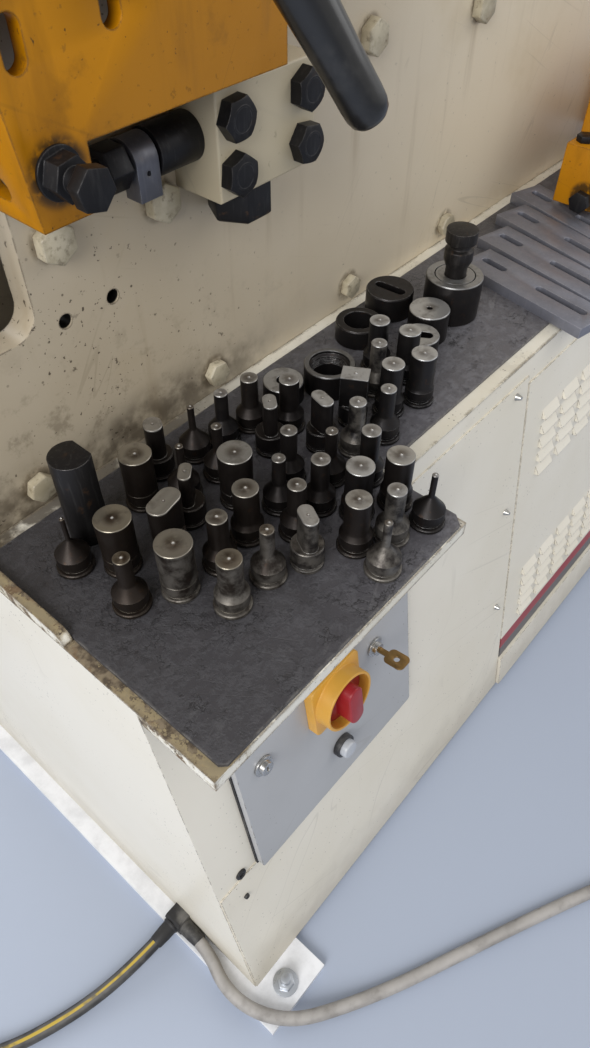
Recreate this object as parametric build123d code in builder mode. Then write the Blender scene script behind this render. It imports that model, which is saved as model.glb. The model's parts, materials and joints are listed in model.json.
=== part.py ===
from build123d import *
import math
import os

os.makedirs("parts", exist_ok=True)

# Frame of the model: X runs along the machine, Y goes back from the outer face of the front side
# plate (the operator stands on the -Y side), Z is up and the floor is Z = 0. Millimetres.

# Driving dimensions of the cabinet
BASE_LENGTH = 1440.0
FOOT_THICKNESS = 15.0
CABINET_TOP = 755.0
CABINET_REAR = 330.0
SHEET = 3.0
FRONT_LEAN = 8.6
FRONT_FOOT_Y = -385.0

# Driving dimensions of the tool tray
TRAY_STEP_X = 392.0
TRAY_FRONT_Y = -373.0
TRAY_BACK_Y = -0.5
TRAY_LIP = 18.0
MAT_THICKNESS = 5.0
MAT_MARGIN = 12.0
MAT_BACK_Y = -22.0
MAT_NARROW_Y = -254.0

# Driving dimensions of the frame
PLATE_THICKNESS = 32.0
PLATE_GAP = 100.0
FRAME_TOP = 1620.0
FRAME_LEFT = -60.0
FRAME_RIGHT = 1600.0
THROAT_X = 1350.0
THROAT_LOW = 930.0
THROAT_HIGH = 1150.0
WINDOW_LEFT = 36.0
WINDOW_RIGHT = 156.0
WINDOW_LOW = 955.0
WINDOW_HIGH = 1195.0

# Fasteners: across flats and head height
M16_FLATS = 24.0
M16_HEAD = 10.0
M20_FLATS = 30.0
M20_HEAD = 12.5
M24_FLATS = 36.0
M24_HEAD = 15.0

# Moving parts
PIVOT_X = 640.0
PIVOT_Z = 1400.0
PUNCH_X = 1520.0
JACK_X = 257.0
RUNNING_FIT = 0.08

# Values that follow
CABINET_FLOOR = FOOT_THICKNESS
LEAN_TAN = math.tan(math.radians(FRONT_LEAN))
LEAN_COS = math.cos(math.radians(FRONT_LEAN))
LEAN_SIN = math.sin(math.radians(FRONT_LEAN))
FRONT_TOP_Y = FRONT_FOOT_Y + (CABINET_TOP - CABINET_FLOOR) * LEAN_TAN
TRAY_TOP = CABINET_TOP + SHEET
MAT_TOP = TRAY_TOP + MAT_THICKNESS
REAR_PLATE_Y = PLATE_THICKNESS + PLATE_GAP
FRAME_BACK = REAR_PLATE_Y + PLATE_THICKNESS
FRAME_MID_Y = PLATE_THICKNESS + PLATE_GAP / 2

# Planes that the pieces are drawn on


def front_plane(offset=0.0):
    """Leaning front of the cabinet: local x is X, local y runs up the slope from the bottom edge."""
    y = FRONT_FOOT_Y - offset * LEAN_COS
    z = CABINET_FLOOR + offset * LEAN_SIN
    return Plane(origin=(0, y, z), x_dir=(1, 0, 0), z_dir=(0, -LEAN_COS, LEAN_SIN))


def up_slope(height):
    """Distance up the leaning front of a point at this height above the floor."""
    return (height - CABINET_FLOOR) / LEAN_COS


def side_plane(y):
    """Upright plane facing the operator at this depth: local x is X, local y is Z."""
    return Plane(origin=(0, y, 0), x_dir=(1, 0, 0), z_dir=(0, -1, 0))


def end_plane(x):
    """Upright plane facing +X: local x is Y, local y is Z."""
    return Plane(origin=(x, 0, 0), x_dir=(0, 1, 0), z_dir=(1, 0, 0))


def hex_radius(flats):
    """Corner radius of a hexagon with this size across flats."""
    return flats / math.sqrt(3)


# Foot plates: two steel flats under the ends of the cabinet, slotted for the anchors
FOOT_WIDTH = 122.0
FOOT_OUTSIDE = 28.0
FOOT_FRONT_Y = -447.0
FOOT_BACK_Y = 392.0
ANCHOR_HOLE = 20.0
ANCHOR_INSET_X = 63.0
ANCHOR_INSET_Y = 30.0
FOOT_LENGTH = FOOT_BACK_Y - FOOT_FRONT_Y
FOOT_MID_Y = (FOOT_BACK_Y + FOOT_FRONT_Y) / 2
FOOT_CENTRES = (
    (FOOT_WIDTH / 2 - FOOT_OUTSIDE, FOOT_MID_Y),
    (BASE_LENGTH + FOOT_OUTSIDE - FOOT_WIDTH / 2, FOOT_MID_Y),
)
ANCHOR_PLACES = [
    (x, y)
    for x in (ANCHOR_INSET_X - FOOT_OUTSIDE, BASE_LENGTH + FOOT_OUTSIDE - ANCHOR_INSET_X)
    for y in (FOOT_FRONT_Y + ANCHOR_INSET_Y, FOOT_BACK_Y - ANCHOR_INSET_Y)
]

with BuildPart() as foot_plates:
    with BuildSketch(Plane.XY):
        with Locations(*FOOT_CENTRES):
            Rectangle(FOOT_WIDTH, FOOT_LENGTH)
        with Locations(*ANCHOR_PLACES):
            SlotCenterToCenter(ANCHOR_HOLE / 2, ANCHOR_HOLE, mode=Mode.SUBTRACT)
    extrude(amount=FOOT_THICKNESS)
foot_plates.part.label = "foot_plates"
export_step(foot_plates.part, "parts/foot_plates.step")

# Anchors: stud, washer and nut, standing on each foot plate
ANCHOR_ROD = 16.0
ANCHOR_WASHER = 40.0
ANCHOR_WASHER_THICKNESS = 4.0
ANCHOR_NUT = 14.0
ANCHOR_STICKS_OUT = 34.0

with BuildPart() as anchor_bolts:
    with BuildSketch(Plane.XY.offset(FOOT_THICKNESS)):
        with Locations(*ANCHOR_PLACES):
            Circle(ANCHOR_WASHER / 2)
    extrude(amount=ANCHOR_WASHER_THICKNESS)
    with BuildSketch(Plane.XY.offset(FOOT_THICKNESS + ANCHOR_WASHER_THICKNESS)):
        with Locations(*ANCHOR_PLACES):
            RegularPolygon(hex_radius(M16_FLATS), 6)
    extrude(amount=ANCHOR_NUT)
    with BuildSketch(Plane.XY):
        with Locations(*ANCHOR_PLACES):
            Circle(ANCHOR_ROD / 2)
    extrude(amount=FOOT_THICKNESS + ANCHOR_STICKS_OUT)
anchor_bolts.part.label = "anchor_bolts"
export_step(anchor_bolts.part, "parts/anchor_bolts.step")

# Cabinet shell: folded sheet box with a leaning front, open underneath, with openings for the
# electrical door, the louvred panel and the frame plates
FRAME_SLOT_CLEAR = 3.0
FRAME_FOOT_INSET = 30.0
FRAME_FOOT_LEFT = FRAME_FOOT_INSET
FRAME_FOOT_RIGHT = BASE_LENGTH - FRAME_FOOT_INSET
DOOR_X = (70.0, 398.0)
DOOR_Z = (336.0, 714.0)
DOOR_OVERLAP = 26.0
DOOR_OPENING_X = (DOOR_X[0] + DOOR_OVERLAP, DOOR_X[1] - DOOR_OVERLAP)
DOOR_OPENING_Z = (DOOR_Z[0] + DOOR_OVERLAP, DOOR_Z[1] - DOOR_OVERLAP)
PANEL_SEAM_X = 714.0
PANEL_SEAM = 2.0
VENT_LEFT = PANEL_SEAM_X + PANEL_SEAM
VENT_RIGHT = BASE_LENGTH - 26.0
VENT_LOW = 96.0
VENT_TOP = 714.0
VENT_OVERLAP = 24.0
VENT_FOOT_OVERLAP = 74.0
VENT_OPENING_X = (VENT_LEFT + VENT_OVERLAP, VENT_RIGHT - VENT_OVERLAP)
VENT_OPENING_Z = (VENT_LOW + VENT_FOOT_OVERLAP, VENT_TOP - VENT_OVERLAP)
PLINTH_X = PANEL_SEAM_X
PLINTH_TOP = 94.0
PLINTH_PROUD = 8.0

with BuildPart() as cabinet_shell:
    with BuildSketch(end_plane(0)):
        with BuildLine():
            Polyline(
                (FRONT_FOOT_Y, CABINET_FLOOR),
                (FRONT_TOP_Y, CABINET_TOP),
                (CABINET_REAR, CABINET_TOP),
                (CABINET_REAR, CABINET_FLOOR),
                close=True,
            )
        make_face()
    extrude(amount=BASE_LENGTH)
    bottom_face = cabinet_shell.faces().sort_by(Axis.Z)[0]
    offset(amount=-SHEET, openings=bottom_face)
    with BuildSketch(Plane.XY.offset(CABINET_TOP)):
        with Locations(((FRAME_FOOT_LEFT + FRAME_FOOT_RIGHT) / 2, FRAME_MID_Y)):
            Rectangle(
                FRAME_FOOT_RIGHT - FRAME_FOOT_LEFT + 2 * FRAME_SLOT_CLEAR,
                FRAME_BACK + 2 * FRAME_SLOT_CLEAR,
            )
    extrude(amount=-2 * SHEET, mode=Mode.SUBTRACT)
    for (x0, x1), (z0, z1) in ((DOOR_OPENING_X, DOOR_OPENING_Z), (VENT_OPENING_X, VENT_OPENING_Z)):
        with BuildSketch(front_plane(SHEET)):
            with Locations(((x0 + x1) / 2, (up_slope(z0) + up_slope(z1)) / 2)):
                Rectangle(x1 - x0, up_slope(z1) - up_slope(z0))
        extrude(amount=-3 * SHEET, mode=Mode.SUBTRACT)
    with BuildSketch(front_plane()):
        with Locations(((PLINTH_X + BASE_LENGTH) / 2, up_slope(PLINTH_TOP) / 2)):
            Rectangle(BASE_LENGTH - PLINTH_X, up_slope(PLINTH_TOP))
    extrude(amount=PLINTH_PROUD)
cabinet_shell.part.label = "cabinet_shell"
export_step(cabinet_shell.part, "parts/cabinet_shell.step")

# Front cover: L-shaped sheet, low under the door and full height beside it
COVER_THICKNESS = 2.0
COVER_LEFT = 2.0
COVER_RIGHT = PANEL_SEAM_X - PANEL_SEAM
COVER_DOOR_GAP = 6.0
COVER_LOW_TOP = DOOR_Z[0] - PANEL_SEAM
COVER_COLUMN_LEFT = DOOR_X[1] + COVER_DOOR_GAP
COVER_COLUMN_TOP = 728.0

with BuildPart() as front_cover:
    with BuildSketch(front_plane()):
        with BuildLine():
            Polyline(
                (COVER_LEFT, 0),
                (COVER_RIGHT, 0),
                (COVER_RIGHT, up_slope(COVER_COLUMN_TOP)),
                (COVER_COLUMN_LEFT, up_slope(COVER_COLUMN_TOP)),
                (COVER_COLUMN_LEFT, up_slope(COVER_LOW_TOP)),
                (COVER_LEFT, up_slope(COVER_LOW_TOP)),
                close=True,
            )
        make_face()
    extrude(amount=COVER_THICKNESS)
front_cover.part.label = "front_cover"
export_step(front_cover.part, "parts/front_cover.step")

# Louvred panel: each louvre is a pressed hood, open downwards over a slot
LOUVRE_WIDTH = 46.0
LOUVRE_HEIGHT = 17.0
LOUVRE_PROUD = 7.0
LOUVRE_WALL = 1.5
LOUVRE_PITCH_X = 65.0
LOUVRE_PITCH_Z = 27.0
LOUVRE_ROWS = 5
LOUVRE_FIRST_X = VENT_LEFT + 77.0
LOUVRE_MARGIN = 55.0
LOUVRE_COLUMNS = 1 + int((VENT_RIGHT - LOUVRE_MARGIN - LOUVRE_FIRST_X) / LOUVRE_PITCH_X)
LOUVRE_GROUP_LOWS = (174.0, 514.0)
LOUVRE_FEET = [
    up_slope(low + row * LOUVRE_PITCH_Z) for low in LOUVRE_GROUP_LOWS for row in range(LOUVRE_ROWS)
]
LOUVRE_PLACES = [
    (LOUVRE_FIRST_X + column * LOUVRE_PITCH_X, foot + LOUVRE_PROUD / 2)
    for column in range(LOUVRE_COLUMNS)
    for foot in LOUVRE_FEET
]
HOOD_NORMAL = (0, -LEAN_COS, LEAN_SIN)

with BuildPart() as louvred_panel:
    with BuildSketch(front_plane()):
        with Locations(((VENT_LEFT + VENT_RIGHT) / 2, (up_slope(VENT_LOW) + up_slope(VENT_TOP)) / 2)):
            Rectangle(VENT_RIGHT - VENT_LEFT, up_slope(VENT_TOP) - up_slope(VENT_LOW))
    extrude(amount=COVER_THICKNESS)
    for column in range(LOUVRE_COLUMNS):
        column_right = LOUVRE_FIRST_X + column * LOUVRE_PITCH_X + LOUVRE_WIDTH / 2
        hood_origin = front_plane(COVER_THICKNESS).from_local_coords(Vector(column_right, 0, 0))
        with BuildSketch(Plane(origin=hood_origin, x_dir=HOOD_NORMAL, z_dir=(-1, 0, 0))):
            for foot in LOUVRE_FEET:
                with BuildLine():
                    Polyline(
                        (0, foot),
                        (LOUVRE_PROUD, foot),
                        (LOUVRE_PROUD, foot + LOUVRE_WALL),
                        (0, foot + LOUVRE_HEIGHT),
                        close=True,
                    )
                make_face()
        extrude(amount=LOUVRE_WIDTH)
    with BuildSketch(front_plane(-COVER_THICKNESS)):
        with Locations(*LOUVRE_PLACES):
            Rectangle(LOUVRE_WIDTH - 2 * LOUVRE_WALL, LOUVRE_PROUD)
    extrude(amount=2 * COVER_THICKNESS + LOUVRE_PROUD / 2, mode=Mode.SUBTRACT)
louvred_panel.part.label = "louvred_panel"
export_step(louvred_panel.part, "parts/louvred_panel.step")

# Domed nuts that hold the cover and the panel
DOME_NUT_FLATS = 11.0
DOME_NUT_HEIGHT = 8.0
DOME_NUT_HEIGHTS = (712.0, 500.0, 277.0)
DOME_NUT_INSET = 33.0
DOME_NUT_EDGE = 10.0
DOME_NUT_TAPER = 20.0
DOME_NUT_COLUMNS = (COVER_RIGHT - DOME_NUT_INSET, VENT_RIGHT - DOME_NUT_EDGE)
DOME_NUT_PLACES = [(x, up_slope(z)) for x in DOME_NUT_COLUMNS for z in DOME_NUT_HEIGHTS]

with BuildPart() as panel_nuts:
    with BuildSketch(front_plane(COVER_THICKNESS)):
        with Locations(*DOME_NUT_PLACES):
            Circle(DOME_NUT_FLATS / 2)
    extrude(amount=DOME_NUT_HEIGHT, taper=DOME_NUT_TAPER)
panel_nuts.part.label = "panel_nuts"
export_step(panel_nuts.part, "parts/panel_nuts.step")

# Tool tray: folded sheet on the cabinet, wide over the electrical door, with lips turned down and
# a raised curb at the left end
CURB_WIDTH = 11.0
CURB_HEIGHT = 15.0
CURB_FRONT_Y = -170.0
NARROW_FRONT_Y = FRONT_TOP_Y - 1.0

with BuildPart() as tool_tray:
    with BuildSketch(Plane.XY.offset(CABINET_TOP)):
        with BuildLine():
            Polyline(
                (0, TRAY_BACK_Y),
                (0, TRAY_FRONT_Y),
                (TRAY_STEP_X, TRAY_FRONT_Y),
                (TRAY_STEP_X, NARROW_FRONT_Y),
                (BASE_LENGTH, NARROW_FRONT_Y),
                (BASE_LENGTH, TRAY_BACK_Y),
                close=True,
            )
        make_face()
    extrude(amount=SHEET)
    with BuildSketch(Plane.XY.offset(CABINET_TOP)):
        with BuildLine():
            Polyline(
                (0, FRONT_TOP_Y - SHEET),
                (0, TRAY_FRONT_Y),
                (TRAY_STEP_X, TRAY_FRONT_Y),
                (TRAY_STEP_X, FRONT_TOP_Y - SHEET),
                (TRAY_STEP_X - SHEET, FRONT_TOP_Y - SHEET),
                (TRAY_STEP_X - SHEET, TRAY_FRONT_Y + SHEET),
                (SHEET, TRAY_FRONT_Y + SHEET),
                (SHEET, FRONT_TOP_Y - SHEET),
                close=True,
            )
        make_face()
    extrude(amount=-(TRAY_LIP - SHEET))
    with BuildSketch(Plane.XY.offset(TRAY_TOP)):
        with Locations((CURB_WIDTH / 2, (CURB_FRONT_Y + TRAY_BACK_Y) / 2)):
            Rectangle(CURB_WIDTH, TRAY_BACK_Y - CURB_FRONT_Y)
    extrude(amount=CURB_HEIGHT)
    curb_end = tool_tray.edges().filter_by(Axis.X).group_by(Axis.Z)[-1].sort_by(Axis.Y)[0]
    fillet(curb_end, radius=CURB_HEIGHT - 1.0)
tool_tray.part.label = "tool_tray"
export_step(tool_tray.part, "parts/tool_tray.step")

# Rubber mat on the tray, with its two front corners cut off
MAT_EDGE = 1.5
MAT_CORNER = 12.0

with BuildPart() as rubber_mat:
    with BuildSketch(Plane.XY.offset(TRAY_TOP)):
        with BuildLine():
            Polyline(
                (MAT_MARGIN, MAT_BACK_Y),
                (MAT_MARGIN, TRAY_FRONT_Y + MAT_EDGE + MAT_CORNER / 2),
                (MAT_MARGIN + MAT_CORNER / 2, TRAY_FRONT_Y + MAT_EDGE),
                (TRAY_STEP_X - MAT_CORNER, TRAY_FRONT_Y + MAT_EDGE),
                (TRAY_STEP_X - MAT_EDGE, TRAY_FRONT_Y + MAT_EDGE + MAT_CORNER),
                (TRAY_STEP_X - MAT_EDGE, MAT_NARROW_Y),
                (BASE_LENGTH - MAT_MARGIN, MAT_NARROW_Y),
                (BASE_LENGTH - MAT_MARGIN, MAT_BACK_Y),
                close=True,
            )
        make_face()
    extrude(amount=MAT_THICKNESS)
rubber_mat.part.label = "rubber_mat"
export_step(rubber_mat.part, "parts/rubber_mat.step")

# Frame side plates: one outline for both, with the shear window and the punching throat
LOWER_JAW_LOW = 850.0
JAW_TOP = 1440.0
SHOULDER_Z = 775.0
SHOULDER_STEP = 25.0
TOP_RUN_LEFT = 200.0
TOP_RUN_RIGHT = 180.0
THROAT_RADIUS = 40.0
WINDOW_RADIUS = 26.0
PIVOT_PIN = 90.0
FRAME_BOLT_STATIONS = (105.0, 376.0, 650.0, 900.0)
FRAME_BOLT_Z = 788.0
TOP_BOLT_INSET = 35.0
TOP_LEFT_BOLT_INSET = 45.0
LARGE_BOLT_PLACES = (
    (192.0, 1037.0),
    (322.0, 1029.0),
    (664.0, 1103.0),
    (909.0, 1088.0),
    (200.0, FRAME_TOP - TOP_LEFT_BOLT_INSET),
    (700.0, FRAME_TOP - TOP_BOLT_INSET),
    (1250.0, FRAME_TOP - TOP_BOLT_INSET),
)
SPARE_HOLE = 16.0
SPARE_HOLE_SPACING = 60.0
SPARE_HOLE_X = 217.0
SPARE_HOLE_Z = 954.0
SPARE_HOLE_PLACES = [
    (SPARE_HOLE_X - SPARE_HOLE_SPACING / 2, SPARE_HOLE_Z),
    (SPARE_HOLE_X + SPARE_HOLE_SPACING / 2, SPARE_HOLE_Z),
]


def frame_outline():
    """Outline of a side plate, seen from the operator's side."""
    return Polyline(
        (FRAME_FOOT_LEFT, FOOT_THICKNESS),
        (FRAME_FOOT_RIGHT, FOOT_THICKNESS),
        (FRAME_FOOT_RIGHT, SHOULDER_Z),
        (FRAME_RIGHT, LOWER_JAW_LOW),
        (FRAME_RIGHT, THROAT_LOW),
        (THROAT_X, THROAT_LOW),
        (THROAT_X, THROAT_HIGH),
        (FRAME_RIGHT, THROAT_HIGH),
        (FRAME_RIGHT, JAW_TOP),
        (FRAME_RIGHT - TOP_RUN_RIGHT, FRAME_TOP),
        (FRAME_LEFT + TOP_RUN_LEFT, FRAME_TOP),
        (FRAME_LEFT, JAW_TOP),
        (FRAME_LEFT, SHOULDER_Z + SHOULDER_STEP),
        (FRAME_FOOT_LEFT, SHOULDER_Z),
        close=True,
    )


def window_and_pin(pin_diameter):
    """Cut-outs that both side plates share: the shear window and the bore of the pivot pin."""
    with Locations(((WINDOW_LEFT + WINDOW_RIGHT) / 2, (WINDOW_LOW + WINDOW_HIGH) / 2)):
        RectangleRounded(
            WINDOW_RIGHT - WINDOW_LEFT, WINDOW_HIGH - WINDOW_LOW, WINDOW_RADIUS, mode=Mode.SUBTRACT
        )
    with Locations((PIVOT_X, PIVOT_Z)):
        Circle(pin_diameter / 2, mode=Mode.SUBTRACT)


with BuildPart() as front_side_plate:
    with BuildSketch(side_plane(0)):
        with BuildLine():
            frame_outline()
        make_face()
        window_and_pin(PIVOT_PIN)
        with Locations(*SPARE_HOLE_PLACES):
            Circle(SPARE_HOLE / 2, mode=Mode.SUBTRACT)
    extrude(amount=-PLATE_THICKNESS)
    inner_throat = [
        edge
        for edge in front_side_plate.edges().filter_by(Axis.Y)
        if abs(edge.center().X - THROAT_X) < 1.0
    ]
    fillet(inner_throat, radius=THROAT_RADIUS)
front_side_plate.part.label = "front_side_plate"
export_step(front_side_plate.part, "parts/front_side_plate.step")

with BuildPart() as rear_side_plate:
    with BuildSketch(side_plane(REAR_PLATE_Y)):
        with BuildLine():
            frame_outline()
        make_face()
        window_and_pin(PIVOT_PIN)
    extrude(amount=-PLATE_THICKNESS)
    inner_throat = [
        edge
        for edge in rear_side_plate.edges().filter_by(Axis.Y)
        if abs(edge.center().X - THROAT_X) < 1.0
    ]
    fillet(inner_throat, radius=THROAT_RADIUS)
rear_side_plate.part.label = "rear_side_plate"
export_step(rear_side_plate.part, "parts/rear_side_plate.step")

# Spacers between the plates: turned distance pieces and one long bar over the cabinet
SPACER_DIAMETER = 50.0
SPACER_BAR_HEIGHT = 36.0
SPACER_BAR_INSET = 20.0

with BuildPart() as frame_spacers:
    with BuildSketch(side_plane(PLATE_THICKNESS)):
        with Locations(*LARGE_BOLT_PLACES):
            Circle(SPACER_DIAMETER / 2)
    extrude(amount=-PLATE_GAP)
    with BuildSketch(side_plane(PLATE_THICKNESS)):
        with Locations(((FRAME_FOOT_LEFT + FRAME_FOOT_RIGHT) / 2, FRAME_BOLT_Z)):
            Rectangle(FRAME_FOOT_RIGHT - FRAME_FOOT_LEFT - 2 * SPACER_BAR_INSET, SPACER_BAR_HEIGHT)
    extrude(amount=-PLATE_GAP)
frame_spacers.part.label = "frame_spacers"
export_step(frame_spacers.part, "parts/frame_spacers.step")

# Hexagon heads that clamp the frame, the same in front and behind
BOLT_TURNS = (12.0, -8.0, 20.0, 3.0)
LARGE_BOLT_TURN = 30.0

with BuildPart() as frame_bolts:
    for face_y, side in ((0, 1), (FRAME_BACK, -1)):
        for bolt_x, turn in zip(FRAME_BOLT_STATIONS, BOLT_TURNS):
            with BuildSketch(side_plane(face_y)):
                with Locations((bolt_x, FRAME_BOLT_Z)):
                    RegularPolygon(hex_radius(M20_FLATS), 6, rotation=turn)
            extrude(amount=side * M20_HEAD)
        with BuildSketch(side_plane(face_y)):
            with Locations(*LARGE_BOLT_PLACES):
                RegularPolygon(hex_radius(M24_FLATS), 6, rotation=LARGE_BOLT_TURN)
        extrude(amount=side * M24_HEAD)
frame_bolts.part.label = "frame_bolts"
export_step(frame_bolts.part, "parts/frame_bolts.step")

# Bar shear: a fixed blade behind the front plate and a moving blade on the beam, with a round and
# a square hole that line up at rest
BLADE_THICKNESS = 32.0
BLADE_GAP = 1.0
BLADE_LEFT = -20.0
BLADE_RIGHT = 118.0
BLADE_HOLE_X = 80.0
ROUND_HOLE_Z = WINDOW_LOW + 55.0
ROUND_HOLE = 42.0
SQUARE_HOLE_Z = WINDOW_HIGH - 100.0
SQUARE_HOLE = 36.0
SQUARE_HOLE_TURN = 45.0
FIXED_BLADE_LOW = WINDOW_LOW - 75.0
FIXED_BLADE_HIGH = WINDOW_HIGH - 15.0
MOVING_BLADE_LOW = WINDOW_LOW - 55.0
BEAM_DROP = 185.0
BEAM_LOW = PIVOT_Z - BEAM_DROP
BEAM_BLADE_STEP = 10.0
BEAM_LEFT_LOW = BEAM_LOW - BEAM_BLADE_STEP
MOVING_BLADE_Y = PLATE_THICKNESS + BLADE_THICKNESS + BLADE_GAP

with BuildPart() as fixed_blade:
    with BuildSketch(side_plane(PLATE_THICKNESS)):
        with Locations(((BLADE_LEFT + BLADE_RIGHT) / 2, (FIXED_BLADE_LOW + FIXED_BLADE_HIGH) / 2)):
            Rectangle(BLADE_RIGHT - BLADE_LEFT, FIXED_BLADE_HIGH - FIXED_BLADE_LOW)
        with Locations((BLADE_HOLE_X, ROUND_HOLE_Z)):
            Circle(ROUND_HOLE / 2, mode=Mode.SUBTRACT)
        with Locations((BLADE_HOLE_X, SQUARE_HOLE_Z)):
            Rectangle(SQUARE_HOLE, SQUARE_HOLE, rotation=SQUARE_HOLE_TURN, mode=Mode.SUBTRACT)
    extrude(amount=-BLADE_THICKNESS)
fixed_blade.part.label = "fixed_blade"
export_step(fixed_blade.part, "parts/fixed_blade.step")

with BuildPart() as moving_blade:
    with BuildSketch(side_plane(MOVING_BLADE_Y)):
        with Locations(((BLADE_LEFT + BLADE_RIGHT) / 2, (MOVING_BLADE_LOW + BEAM_LEFT_LOW) / 2)):
            Rectangle(BLADE_RIGHT - BLADE_LEFT, BEAM_LEFT_LOW - MOVING_BLADE_LOW)
        with Locations((BLADE_HOLE_X, ROUND_HOLE_Z)):
            Circle(ROUND_HOLE / 2, mode=Mode.SUBTRACT)
        with Locations((BLADE_HOLE_X, SQUARE_HOLE_Z)):
            Rectangle(SQUARE_HOLE, SQUARE_HOLE, rotation=SQUARE_HOLE_TURN, mode=Mode.SUBTRACT)
    extrude(amount=-BLADE_THICKNESS)
moving_blade.part.label = "moving_blade"
export_step(moving_blade.part, "parts/moving_blade.step")

# Guide block on the front plate with its four bolts and the adjusting nut under it
HOLD_TOP = 1330.0
HOLD_NOTCH_Z = HOLD_TOP - 178.0
GUIDE_LEFT = 348.0
GUIDE_RIGHT = 488.0
GUIDE_CLEAR = 15.0
GUIDE_HIGH = HOLD_NOTCH_Z - GUIDE_CLEAR
GUIDE_LOW = GUIDE_HIGH - 103.0
GUIDE_DEPTH = 65.0
GUIDE_BOLT_INSET_X = 20.0
GUIDE_BOLT_INSET_Z = 26.0
GUIDE_BOLT_TURN = 15.0
GUIDE_BOLT_PLACES = [
    (x, z)
    for x in (GUIDE_LEFT + GUIDE_BOLT_INSET_X, GUIDE_RIGHT - GUIDE_BOLT_INSET_X)
    for z in (GUIDE_LOW + GUIDE_BOLT_INSET_Z, GUIDE_HIGH - GUIDE_BOLT_INSET_Z)
]
GUIDE_CHAMFER = 1.5
ADJUST_NUT_X = GUIDE_LEFT + 56.0
ADJUST_NUT_Y = -GUIDE_DEPTH / 2 - 0.5
ADJUST_NUT_FLATS = 60.0
ADJUST_NUT_HEIGHT = 36.0
ADJUST_NUT_CHAMFER = 3.0

with BuildPart() as guide_block:
    with BuildSketch(side_plane(0)):
        with Locations(((GUIDE_LEFT + GUIDE_RIGHT) / 2, (GUIDE_LOW + GUIDE_HIGH) / 2)):
            Rectangle(GUIDE_RIGHT - GUIDE_LEFT, GUIDE_HIGH - GUIDE_LOW)
    extrude(amount=GUIDE_DEPTH)
    chamfer(guide_block.faces().sort_by(Axis.Y)[0].edges(), length=GUIDE_CHAMFER)
guide_block.part.label = "guide_block"
export_step(guide_block.part, "parts/guide_block.step")

with BuildPart() as guide_block_bolts:
    with BuildSketch(side_plane(-GUIDE_DEPTH)):
        with Locations(*GUIDE_BOLT_PLACES):
            RegularPolygon(hex_radius(M24_FLATS), 6, rotation=GUIDE_BOLT_TURN)
    extrude(amount=M24_HEAD)
guide_block_bolts.part.label = "guide_block_bolts"
export_step(guide_block_bolts.part, "parts/guide_block_bolts.step")

with BuildPart() as adjusting_nut:
    with BuildSketch(Plane.XY.offset(GUIDE_LOW)):
        with Locations((ADJUST_NUT_X, ADJUST_NUT_Y)):
            RegularPolygon(hex_radius(ADJUST_NUT_FLATS), 6)
    extrude(amount=-ADJUST_NUT_HEIGHT)
    nut_foot = adjusting_nut.faces().sort_by(Axis.Z)[0]
    chamfer(nut_foot.edges(), length=ADJUST_NUT_CHAMFER)
adjusting_nut.part.label = "adjusting_nut"
export_step(adjusting_nut.part, "parts/adjusting_nut.step")

# Cross screw: threaded rod, hexagon and round head, lying against the plate under the hold-down
CROSS_SCREW_Y = -25.0
CROSS_SCREW_Z = GUIDE_HIGH - 47.0
CROSS_SCREW_LEFT = GUIDE_LEFT - 142.0
CROSS_ROD = 22.0
CROSS_NUT_FLATS = 38.0
CROSS_GAP = 3.0
CROSS_HEAD_X = (GUIDE_LEFT - 53.0, GUIDE_LEFT)
LUG_X = (CROSS_HEAD_X[0] - CROSS_GAP - 26.0, CROSS_HEAD_X[0] - CROSS_GAP)
CROSS_NUT_X = (LUG_X[0] - CROSS_GAP - 23.0, LUG_X[0] - CROSS_GAP)
CROSS_HEAD = 46.0
LUG_OUTER = 42.0
LUG_DROP = 16.0
LUG_HOLE = 5.0
LUG_HOLE_DEPTH = 29.0

with BuildPart() as cross_screw:
    with BuildSketch(end_plane(CROSS_SCREW_LEFT)):
        with Locations((CROSS_SCREW_Y, CROSS_SCREW_Z)):
            Circle(CROSS_ROD / 2)
    extrude(amount=GUIDE_LEFT - CROSS_SCREW_LEFT)
    with BuildSketch(end_plane(CROSS_NUT_X[0])):
        with Locations((CROSS_SCREW_Y, CROSS_SCREW_Z)):
            RegularPolygon(hex_radius(CROSS_NUT_FLATS), 6)
    extrude(amount=CROSS_NUT_X[1] - CROSS_NUT_X[0])
    with BuildSketch(end_plane(CROSS_HEAD_X[0])):
        with Locations((CROSS_SCREW_Y, CROSS_SCREW_Z)):
            Circle(CROSS_HEAD / 2)
    extrude(amount=CROSS_HEAD_X[1] - CROSS_HEAD_X[0])
cross_screw.part.label = "cross_screw"
export_step(cross_screw.part, "parts/cross_screw.step")

with BuildPart() as lock_lug:
    with BuildSketch(end_plane(LUG_X[0])):
        with Locations((CROSS_SCREW_Y, CROSS_SCREW_Z)):
            Circle(LUG_OUTER / 2)
        with Locations((CROSS_SCREW_Y - LUG_OUTER / 4, CROSS_SCREW_Z - LUG_DROP)):
            Rectangle(LUG_OUTER / 2, 2 * LUG_DROP)
        with Locations((CROSS_SCREW_Y, CROSS_SCREW_Z)):
            Circle(CROSS_ROD / 2, mode=Mode.SUBTRACT)
    extrude(amount=LUG_X[1] - LUG_X[0])
    with BuildSketch(side_plane(CROSS_SCREW_Y - LUG_OUTER)):
        with Locations(((LUG_X[0] + LUG_X[1]) / 2, CROSS_SCREW_Z - LUG_DROP / 2)):
            Circle(LUG_HOLE / 2)
    extrude(amount=-LUG_HOLE_DEPTH, mode=Mode.SUBTRACT)
lock_lug.part.label = "lock_lug"
export_step(lock_lug.part, "parts/lock_lug.step")

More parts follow.
